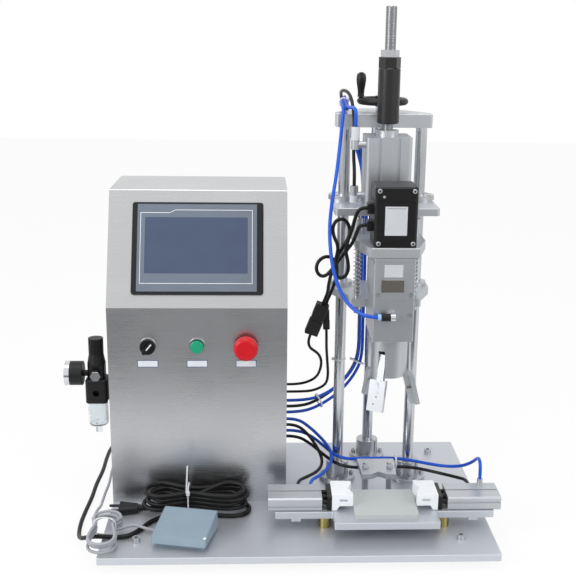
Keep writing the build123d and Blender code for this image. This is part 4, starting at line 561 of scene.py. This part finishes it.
def pedal_hank_points(turns):
    """The pedal cord's hank: loops along Y that hump over the power cord."""
    cx, cy = PEDAL_HANK
    half_x, half_y = PEDAL_HANK_HALF
    points = []

    def hump(y):
        return 8.6 * math.exp(-((y - 62) / 22) ** 2)

    for turn in range(turns):
        level = PEDAL_FIRST_LEVEL + PEDAL_LEVEL_STEP * turn
        reach = half_y - 3.0 * (turn * 2 % 3)
        width = half_x - 1.2 * (turn % 2)
        end = reach - width
        right = (0.2, -0.35) if turn == 0 else (0.75, 0.35, -0.05, -0.4)
        for share in right:
            y = cy + share * end
            points.append((cx + width - 9 * waist(share), y, level + hump(y)))
        points += loop_end(cx, cy - end, width * LOOP_ACROSS, width * LOOP_ALONG, (0, -45, -90, -135, -180),
                           level + hump(cy - end))
        for share in (-0.4, -0.05, 0.35, 0.75):
            y = cy + share * end
            up = level + (0 if turn == turns - 1 else PEDAL_LEVEL_STEP * (share + 0.4) / 1.15)
            points.append((cx - width + 9 * waist(share), y, up + hump(y)))
        if turn == turns - 1:
            break
        points += loop_end(cx, cy + end, width * LOOP_ACROSS, width * LOOP_ALONG, (180, 135, 90, 45, 0),
                           level + PEDAL_LEVEL_STEP + hump(cy + end))
    return points


# ---- operators


class MachineFinishes(bpy.types.Operator):
    """Give every carried-over CAD node its material"""

    bl_idname = "capping_machine.finishes"
    bl_label = "Finishes"

    def execute(self, context):
        finish_of = {
            "cabinet": ["cabinet_shell", "cabinet_back"],
            "plate": ["base_plate", "fixture_plate"],
            "machined": ["top_plate", "carriage_plate", "lower_guide_plate", "head_plate", "back_stop",
                         "clamp_bodies"],
            "upright": ["cylinder_body", "head_housing", "gripper_body"],
            "columns": ["guide_columns", "guide_rods", "lead_screw", "spindle"],
            "turned": ["column_flanges", "carriage_bearings", "return_springs", "lock_nut", "frame_screws"],
            "finger": ["gripper_finger_1", "gripper_finger_2", "gripper_finger_3"],
            "thread": ["piston_rod"],
            "chrome": ["button_collars"],
            "brass": ["fixture_standoffs"],
            "black_oxide": ["stop_sleeve"],
            "black_paint": ["motor_body", "clamp_slide_left", "clamp_slide_right"],
            "black": ["handwheel", "crank_grip", "selector_knob", "filter_regulator", "regulator_knob",
                      "pressure_gauge", "wall_grommets", "lead_connectors", "power_plug"],
            "bezel": ["touch_panel"],
            "rubber": ["rubber_feet"],
            "red": ["estop_button"],
            "green": ["start_button"],
            "jaw": ["clamp_jaw_left", "clamp_jaw_right"],
            "pad": ["rest_pad"],
            "bowl": ["filter_bowl"],
            "pedal": ["pedal_base", "pedal_lid"],
        }
        for key, nodes in finish_of.items():
            for node in nodes:
                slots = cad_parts[node].material_slots
                for slot in slots:
                    slot.material = MATERIALS[key]
        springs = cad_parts["return_springs"]
        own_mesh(springs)
        return {"FINISHED"}


class MachineLines(bpy.types.Operator):
    """Lay the air lines and leads from the cabinet"""

    bl_idname = "capping_machine.lines"
    bl_label = "Air lines and leads"

    def execute(self, context):
        sizes = context.scene.machine_sizes
        routes = [
            ("head_line", HEAD_LINE, sizes.line, "hose", "blue_lines", "blue_hose"),
            ("tool_high_line", TOOL_HIGH_LINE, sizes.line, "hose", "blue_lines", "blue_hose"),
            ("left_blue_line", LEFT_BLUE_LINE, sizes.line, "hose", "blue_lines", "blue_hose"),
            ("right_blue_line", RIGHT_BLUE_LINE, sizes.line, "hose", "blue_lines", "blue_hose"),
            ("tool_low_line", TOOL_LOW_LINE, sizes.line, "black_hose", "black_lines", "black_hose"),
            ("left_black_line", LEFT_BLACK_LINE, sizes.line, "black_hose", "black_lines", "black_hose"),
            ("right_black_line", RIGHT_BLACK_LINE, sizes.line, "black_hose", "black_lines", "black_hose"),
            ("drive_lead", DRIVE_LEAD, sizes.lead, "cable", "black_lines", "black_cable"),
            ("sensor_lead", SENSOR_LEAD, sizes.lead, "cable", "black_lines", "black_cable"),
        ]
        for name, route, diameter, key, node, slot in routes:
            points = [place(*point) for point in route]
            piece = smooth_line(name, points, diameter, key, "frame")
            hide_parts(node)
            declare_line(piece)
        return {"FINISHED"}


def declare_line(piece):
    """Measure the length of a line that leaves one piece of the machine and ends in another; nothing uses
    the length.
    """
    length, _ = line_length(piece)


class MachineHoses(bpy.types.Operator):
    """Hang the hoses and the motor cable that follow the carriage in the machine; here they are fixed
    meshes on no body
    """

    bl_idname = "capping_machine.hoses"
    bl_label = "Moving hoses"

    def execute(self, context):
        sizes = context.scene.machine_sizes
        low_hose, high_hose = CYLINDER_HOSE_LOW, CYLINDER_HOSE_HIGH
        drive, sensor = DRIVE_CABLE[::-1], SENSOR_CABLE[::-1]
        routes = [
            ("head_hose_blue", HEAD_HOSE, sizes.line, "hose", "head_hose", "blue_hose"),
            ("cylinder_hose_black", low_hose, sizes.line, "black_hose", "cylinder_hoses", "black_hose"),
            ("cylinder_hose_blue", high_hose, sizes.line, "hose", "cylinder_hoses", "black_hose"),
            ("drive_cable", drive, sizes.motor_lead, "cable", "motor_cable", "black_cable"),
            ("sensor_cable", sensor, sizes.motor_lead, "cable", "motor_cable", "black_cable"),
        ]
        for name, route, diameter, key, node, slot in routes:
            points = [place(*point) for point in route]
            line = smooth_line(name + "_line", points, diameter, key, "frame")
            length, path = line_length(line)
            bpy.context.view_layer.update()
            mesh = bpy.data.meshes.new_from_object(
                line.evaluated_get(bpy.context.evaluated_depsgraph_get()))
            bpy.data.objects.remove(line)
            mesh.materials.clear()
            mesh.shade_smooth()
            piece = link(name, mesh, key, None)
            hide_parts(node)
            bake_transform(piece)
        return {"FINISHED"}


class MachineCords(bpy.types.Operator):
    """Lay the power cord and the pedal cord with their tied hanks"""

    bl_idname = "capping_machine.cords"
    bl_label = "Cords"

    def execute(self, context):
        sizes = context.scene.machine_sizes
        hank, level = power_hank_points(sizes.power_turns)
        route = POWER_TAIL + hank + lead_out(level)
        points = [place(*point) for point in route]
        cord = smooth_line("power_cord_run", points, sizes.power_cord, "cable", "frame")
        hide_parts("power_cord", "power_cord_hank")
        length, _ = line_length(cord)

        pedal_route = PEDAL_EXIT + pedal_hank_points(sizes.pedal_turns) + PEDAL_TAIL
        points = [place(*point) for point in pedal_route]
        cord = smooth_line("pedal_cord_run", points, sizes.pedal_cord, "pedal_cord", "frame")
        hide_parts("pedal_cord", "pedal_cord_hank")
        length, _ = line_length(cord)
        return {"FINISHED"}


# The touch panel's middle, and its plane: up the cabinet's slope and out of it
PANEL_MIDDLE = Vector((155, 239.7, 457.4))
SLOPE_UP = Vector((0, 0.4203, 0.9074))
SLOPE_OUT = Vector((0, -0.9074, 0.4203))
PANEL_PROUD = 6


def on_panel(along, up, out):
    """A place from the touch panel's middle: right, up the slope and out of it, in millimetres."""
    return place(*(PANEL_MIDDLE + Vector((along, 0, 0)) + SLOPE_UP * up + SLOPE_OUT * (PANEL_PROUD + out)))


def thin_plate(name, low, high, face_y, thick, key, body):
    """An upright plate on a front face, from one corner (x, z) to the other, in millimetres."""
    size = ((high[0] - low[0]) / 1000, thick / 1000, (high[1] - low[1]) / 1000)
    centre = place((low[0] + high[0]) / 2, face_y - thick / 2, (low[1] + high[1]) / 2)
    return block(name, size, centre, key, body, edge=0.0002, segments=1)


def disc(name, centre, axis, radius, thick, key, body, bore=0.0, steps=32):
    """A turned disc or ring: its lower face's centre, radius, bore and thickness in millimetres."""
    ring = [(bore, 0), (radius - 0.2, 0), (radius, 0.2), (radius, thick - 0.2), (radius - 0.2, thick),
            (bore, thick)]
    if bore:
        ring.append((bore, 0))
    profile = [(r / 1000, h / 1000) for r, h in ring]
    return turned(name, profile, place(*centre), axis, key, body, steps)


def tie_ring(name, centre, axis, radius, body, wide=3.0):
    """A cable tie round a bundle, with its square lock and a cut tail."""
    disc(name, tuple(Vector(centre) - Vector(axis).normalized() * wide / 2), axis, radius + 1.2, wide,
         "tie", body, radius)
    side = Vector(axis).normalized().cross(Vector((0, 1, 0.2))).normalized()
    lock = Vector(centre) + side * (radius + 2)
    turn = Vector((0, 0, 1)).rotation_difference(Vector(axis)).to_matrix()
    block(name + "_lock", (0.0055, 0.0045, 0.005), place(*lock), "tie", body, turn)


def loop_band(name, points, thick, key, body):
    """A closed band of round section through points in millimetres."""
    curve = bpy.data.curves.new(name, "CURVE")
    curve.dimensions = "3D"
    curve.bevel_depth = 1
    curve.bevel_resolution = 3
    spline = curve.splines.new("NURBS")
    spline.points.add(len(points) - 1)
    for control, point in zip(spline.points, points):
        control.co = (*place(*point), 1)
        control.radius = thick / 2000
    spline.use_cyclic_u = True
    spline.order_u = 3
    return link(name, curve, key, body)


class MachinePanelFace(bpy.types.Operator):
    """Put the membrane, the screen and the printed line on the touch panel"""

    bl_idname = "capping_machine.panel_face"
    bl_label = "Touch panel face"

    def execute(self, context):
        turn = Matrix((Vector((1, 0, 0)), SLOPE_UP, SLOPE_OUT)).transposed()

        def sheet(name, low, high, out, thick, key):
            size = ((high[0] - low[0]) / 1000, (high[1] - low[1]) / 1000, thick / 1000)
            centre = on_panel((low[0] + high[0]) / 2, (low[1] + high[1]) / 2, out + thick / 2)
            block(name, size, centre, key, "frame", turn, edge=0.0002, segments=1)

        sheet("panel_membrane", (-104, -76.5), (102, 77.5), 0, 0.5, "membrane")
        sheet("panel_screen", (-91, -45), (86, 54), 0.5, 0.15, "screen")
        line = [(-98.5, 62), (-98.5, -62.5), (94, -62.5), (94, 67), (-39.4, 67), (-48.4, 62), (-98.5, 62)]
        for number, (start, end) in enumerate(zip(line, line[1:])):
            run = Vector((end[0] - start[0], end[1] - start[1]))
            lean = Matrix.Rotation(math.atan2(run.y, run.x), 3, "Z")
            middle = on_panel((start[0] + end[0]) / 2, (start[1] + end[1]) / 2, 0.55)
            block(f"panel_line_{number}", ((run.length + 0.9) / 1000, 0.0009, 0.0001), middle, "white",
                  "frame", turn @ lean, edge=0.00001, segments=1)
        return {"FINISHED"}


class MachineControlTrim(bpy.types.Operator):
    """Put the label plates and the selector's pointer on the cabinet's front"""

    bl_idname = "capping_machine.control_trim"
    bl_label = "Labels and pointer"

    def execute(self, context):
        front = 196
        for number, middle in enumerate((68.7, 154.1, 238.8)):
            thin_plate(f"label_{number}_border", (middle - 18.2, 256), (middle + 18.2, 269.4), front,
                       0.6, "label_edge", "frame")
            thin_plate(f"label_{number}", (middle - 16.8, 257.4), (middle + 16.8, 268), front - 0.6, 0.2,
                       "label", "frame")
        lean = Matrix.Rotation(math.radians(40), 3, "Y")
        middle = Vector((69.5, 173.6, 295)) + lean @ Vector((0, 0, 5.5))
        block("selector_pointer", (0.002, 0.0005, 0.0135), place(*middle), "white", "selector", lean,
              edge=0.0002, segments=1)
        return {"FINISHED"}


class MachineAirUnit(bpy.types.Operator):
    """Trim the filter regulator: gauge ring and dial, hexagon plug and lock ring"""

    bl_idname = "capping_machine.air_unit"
    bl_label = "Air unit trim"

    def execute(self, context):
        left = (-1, 0, 0)
        dial_y, dial_z = 235, 232
        disc("gauge_ring", (-72, dial_y, dial_z), left, 21.9, 8.9, "chrome", "frame", 18.4, 48)
        disc("gauge_dial", (-78.6, dial_y, dial_z), left, 18.3, 0.6, "label", "frame")
        for number in range(9):
            angle = math.radians(-135 + number * 33.75)
            spot = (-79.35, dial_y - 15 * math.sin(angle), dial_z + 15 * math.cos(angle))
            block(f"gauge_tick_{number}", (0.0003, 0.0008, 0.0032), place(*spot), "hole_shade_and_black_print", "frame",
                  Matrix.Rotation(angle, 3, "X"), edge=0.00005, segments=1)
        lean = Matrix.Rotation(math.radians(-45), 3, "X")
        block("gauge_needle", (0.0004, 0.0009, 0.015), place(-79.5, dial_y + 3.2, dial_z + 3.2), "hole_shade_and_black_print",
              "frame", lean, edge=0.0001, segments=1)
        disc("gauge_boss", (-79.2, dial_y, dial_z), left, 1.6, 0.8, "hole_shade_and_black_print", "frame", steps=16)
        disc("regulator_hex_plug", (-26, 220.3, 232), (0, -1, 0), 9.5, 6.6, "chrome", "frame", steps=6)
        disc("regulator_lock_ring", (-26, 235, 250.4), (0, 0, 1), 14.4, 4.4, "red", "frame", 11, 40)
        return {"FINISHED"}


class MachineHeadTrim(bpy.types.Operator):
    """Trim the head: motor screws and film, housing plates, finger screw, hose elbow and air fittings"""

    bl_idname = "capping_machine.head_trim"
    bl_label = "Head trim"

    def execute(self, context):
        front = (0, -1, 0)
        for number, (x, z) in enumerate(((449.5, 584.5), (504.5, 584.5), (449.5, 500.5), (504.5, 500.5))):
            screw_head(f"motor_screw_{number}", place(x, 88, z), front, 0.0036, 0.0028, "head")
        disc("motor_stud", (456.6, 88, 575.3), front, 2.2, 1.6, "turned", "head", steps=20)
        thin_plate("motor_sticker", (459, 513.5), (494.5, 560), 88, 0.25, "sticker", "head")
        thin_plate("motor_sticker_frame_top", (462, 556.4), (491.5, 557), 87.7, 0.1, "black", "head")
        thin_plate("housing_silver_plate", (459.8, 447.4), (489.8, 467.8), 80, 0.5, "sticker", "head")
        thin_plate("housing_bronze_plate", (456, 423), (492, 443), 78.5, 0.5, "bronze", "head")
        tilt = (-0.49, -0.84, 0.24)
        # The first disc is a screw head; the two small black discs stand for hollows in the finger and are
        # painted shade
        for number, (spot, radius, key) in enumerate((
                ((454.7, 84.7, 265.8), 3.1, "turned"),
                ((453.2, 79.6, 245), 1.2, "hole_shade_and_black_print"), ((448.5, 78.9, 233), 1.2, "hole_shade_and_black_print"))):
            disc(f"finger_screw_{number}", spot, tilt, radius, 0.5, key, "finger_1", steps=20)
        disc("elbow_collet", (450.5, 70, 384), (1, 0, 0), 5.2, 5.4, "collet", "head", 3.0)
        disc("elbow_body", (456, 70, 384), (1, 0, 0), 6.2, 15, "black", "head", 3.0)
        disc("elbow_nut", (471, 70, 384), (1, 0, 0), 6.6, 7.8, "chrome", "head", steps=12)
        for name, low, high in (("low", 543.5, 571.5), ("high", 649, 687)):
            disc(f"cylinder_fitting_{name}", (421.5, 222, low - 0.2), (0, 0, 1), 7.3, high - low - 15.8,
                 "white_fitting", "carriage")
        return {"FINISHED"}


class MachineTies(bpy.types.Operator):
    """Put the cable ties on the hose bundles and round the tied cords"""

    bl_idname = "capping_machine.ties"
    bl_label = "Cable ties"

    def execute(self, context):
        tie_ring("tie_at_column_foot", (453.5, 391.5, 199), (17, 7, 38), 12, "frame")
        tie_ring("tie_at_cabinet", (377, 360, 129), (33, 12, 14), 12.6, "frame")
        tie_ring("tie_at_top", (407, 300, 705), (0.05, -0.96, -0.27), 7.4, "frame")
        tie_ring("tie_to_right_clamp", (517, 264.5, 43.5), (1, 0, 0), 12.3, "frame")
        tie_ring("tie_round_column", (410, 294, 238), (0, 0, 1), 10.2, "frame", 2.4)
        cx, cy = POWER_HANK
        x = cx + POWER_WAIST * POWER_HANK_HALF[0]
        band = [(x, cy - 18, 3), (x, cy - 20, 12), (x, cy - 20, 30), (x, cy - 18, 46), (x, cy - 6, 51),
                (x, cy + 8, 51), (x, cy + 18, 46), (x, cy + 20, 30), (x, cy + 20, 12), (x, cy + 18, 3),
                (x, cy + 6, 1.6), (x, cy - 6, 1.6)]
        loop_band("power_hank_tie", band, 2.6, "tie", "frame")
        block("power_hank_tie_lock", (0.006, 0.005, 0.007), place(x, cy - 19, 43), "tie", "frame")
        block("power_hank_tie_tail", (0.0028, 0.0012, 0.052), place(x - 1.5, cy - 19.5, 70), "tie",
              "frame", Matrix.Rotation(math.radians(3), 3, "Y"))
        disc("pedal_screw", (173.4, 21.3, 22.2), (-0.04, -0.18, 0.98), 2.6, 0.7, "label", "pedal",
             steps=20)
        cx, cy = PEDAL_HANK
        band = [(cx - 17, cy, 8), (cx - 19, cy, 18), (cx - 17, cy, 31), (cx - 6, cy, 36),
                (cx + 6, cy, 36), (cx + 17, cy, 31), (cx + 19, cy, 18), (cx + 17, cy, 8),
                (cx + 6, cy, 5.5), (cx - 6, cy, 5.5)]
        loop_band("pedal_hank_tie", band, 2.4, "tie", "frame")
        return {"FINISHED"}


# The floor's reach from its middle, and a grey sheet that only the steel mirrors, a painted shade in its
# reflections, in metres
FLOOR_REACH = 6
FLAG_CORNERS = ((-1.5, -2.8), (1.3, -0.62))
FLAG_HEIGHT = 0.001
# The camera: its place in metres, its angles in degrees, its lens and its sideways shift
CAMERA_PLACE = (-0.0358, -1.6668, 0.8602)
CAMERA_YAW, CAMERA_PITCH, CAMERA_ROLL = 2.776, 14.854, 0.844
PICTURE_SIDE = 576
FOCAL_PIXELS = 990.4
SHIFT_PIXELS = -18.24
SENSOR = 36


class MachineStage(bpy.types.Operator):
    """Set the floor, the lights and the camera"""

    bl_idname = "capping_machine.stage"
    bl_label = "Stage"

    def execute(self, context):
        scene = context.scene
        scene.view_settings.view_transform = "Standard"
        side = FLOOR_REACH
        self.flat_sheet(context, "floor", (-side, -side), (side, side), 0, self.floor_material())
        # A grey sheet on the floor, hidden from the camera and casting no shadow: it only darkens what the
        # steel fronts reflect, a painted shade
        dark, _, shader = new_material("painted_shade_grey_sheet")
        set_shader(shader, base_color=to_linear("#77787a"), roughness=1.0)
        flag = self.flat_sheet(context, "painted_shade_floor_sheet", *FLAG_CORNERS, FLAG_HEIGHT, dark)
        flag.visible_camera = False
        flag.visible_shadow = False
        world = bpy.data.worlds.new("studio")
        scene.world = world
        world.use_nodes = True
        tree = world.node_tree
        background = tree.nodes["Background"]
        path = add_node(tree, "ShaderNodeLightPath")
        shown = add_node(tree, "ShaderNodeMath", [(path.outputs["Is Camera Ray"], 0),
                                                  (path.outputs["Is Transmission Ray"], 1)],
                         operation="MAXIMUM")
        shown = add_node(tree, "ShaderNodeMath", [(shown.outputs[0], 0),
                                                  (path.outputs["Is Glossy Ray"], 1)],
                         operation="MAXIMUM")
        seen = add_node(tree, "ShaderNodeMath", [(shown.outputs[0], 0)], operation="MULTIPLY")
        seen.inputs[1].default_value = 0.3
        strength = add_node(tree, "ShaderNodeMath", [(seen.outputs[0], 0)], operation="ADD")
        strength.inputs[1].default_value = 0.7
        tree.links.new(strength.outputs[0], background.inputs["Strength"])
        background.inputs["Color"].default_value = (1, 1, 1, 1)
        lamps = [
            ("top_softbox", (-0.2, -0.3, 2.3), 14, 1.4, (0, 0, 0.2)),
            ("left_softbox", (-2.0, -1.4, 1.4), 26, 1.1, (0, 0, 0.35)),
            ("right_softbox", (1.9, -1.5, 1.6), 16, 0.9, (0.1, 0, 0.4)),
        ]
        for name, position, power, size, target in lamps:
            lamp = bpy.data.lights.new(name, "AREA")
            lamp.energy = power
            lamp.size = size
            holder = bpy.data.objects.new(name, lamp)
            holder.location = position
            holder.rotation_euler = (Vector(target) - Vector(position)).to_track_quat("-Z", "Y").to_euler()
            context.collection.objects.link(holder)
        self.add_camera(context)
        return {"FINISHED"}

    def flat_sheet(self, context, name, low, high, height, material):
        """A level sheet of the stage between two corners."""
        mesh = bpy.data.meshes.new(name)
        mesh.from_pydata([(low[0], low[1], height), (high[0], low[1], height), (high[0], high[1], height),
                          (low[0], high[1], height)], [], [(0, 1, 2, 3)])
        sheet = bpy.data.objects.new(name, mesh)
        context.collection.objects.link(sheet)
        mesh.materials.append(material)
        return sheet

    def floor_material(self):
        """A white sweep: matt paper, mostly its own white to the camera, so that shadows stay faint."""
        material, tree, shader = new_material("floor_white_sweep")
        set_shader(shader, base_color=to_linear("#f2f2f3"), roughness=0.9)
        white = add_node(tree, "ShaderNodeEmission", Strength=1.0)
        path = add_node(tree, "ShaderNodeLightPath")
        clear = add_node(tree, "ShaderNodeMath", [(path.outputs["Is Camera Ray"], 0),
                                                  (path.outputs["Is Transmission Ray"], 1)],
                         operation="MAXIMUM")
        share = add_node(tree, "ShaderNodeMath", [(clear.outputs[0], 0)], operation="MULTIPLY")
        share.inputs[1].default_value = 0.9
        gloss = add_node(tree, "ShaderNodeMath", [(path.outputs["Is Glossy Ray"], 0)], operation="MULTIPLY")
        gloss.inputs[1].default_value = 0.1
        total = add_node(tree, "ShaderNodeMath", [(share.outputs[0], 0), (gloss.outputs[0], 1)],
                         operation="MAXIMUM")
        mix = add_node(tree, "ShaderNodeMixShader", [(total.outputs[0], 0), (shader.outputs[0], 1),
                                                     (white.outputs[0], 2)])
        tree.links.new(mix.outputs[0], tree.nodes["Material Output"].inputs["Surface"])
        return material

    def add_camera(self, context):
        """The photograph's view: place, aim, roll and field as fitted to it."""
        yaw, pitch, roll = (math.radians(a) for a in (CAMERA_YAW, CAMERA_PITCH, CAMERA_ROLL))
        level = math.cos(pitch)
        forward = Vector((math.sin(yaw) * level, math.cos(yaw) * level, -math.sin(pitch)))
        right = Vector((math.cos(yaw), -math.sin(yaw), 0))
        up = right.cross(forward)
        rolled_right = right * math.cos(roll) + up * math.sin(roll)
        rolled_up = up * math.cos(roll) - right * math.sin(roll)
        data = bpy.data.cameras.new("camera")
        camera = bpy.data.objects.new("camera", data)
        context.collection.objects.link(camera)
        matrix = Matrix((rolled_right, rolled_up, -forward)).transposed().to_4x4()
        matrix.translation = CAMERA_PLACE
        camera.matrix_world = matrix
        data.sensor_width = SENSOR
        data.lens = FOCAL_PIXELS / PICTURE_SIDE * SENSOR
        data.shift_x = SHIFT_PIXELS / PICTURE_SIDE
        context.scene.camera = camera


class MachinePanel(bpy.types.Panel):
    """Buttons for the machine's pieces"""

    bl_idname = "VIEW3D_PT_capping_machine"
    bl_label = "Capping machine"
    bl_space_type = "VIEW_3D"
    bl_region_type = "UI"
    bl_category = "Capping machine"

    def draw(self, context):
        for operator in OPERATORS:
            self.layout.operator(operator.bl_idname)


OPERATORS = (MachineFinishes, MachineLines, MachineHoses, MachineCords, MachinePanelFace,
             MachineControlTrim, MachineAirUnit, MachineHeadTrim, MachineTies, MachineStage)
CLASSES = (MachineColours, MachineSizes, *OPERATORS, MachinePanel)
MATERIALS = {}


def register():
    for cls in CLASSES:
        bpy.utils.register_class(cls)
    bpy.types.Scene.machine_colours = PointerProperty(type=MachineColours)
    bpy.types.Scene.machine_sizes = PointerProperty(type=MachineSizes)


def unregister():
    del bpy.types.Scene.machine_sizes
    del bpy.types.Scene.machine_colours
    for cls in reversed(CLASSES):
        bpy.utils.unregister_class(cls)


def main():
    register()
    MATERIALS.update(make_materials(bpy.context.scene.machine_colours))
    for operator in OPERATORS:
        category, name = operator.bl_idname.split(".")
        getattr(getattr(bpy.ops, category), name)()
    bpy.context.view_layer.update()


if __name__ == "__main__":
    main()
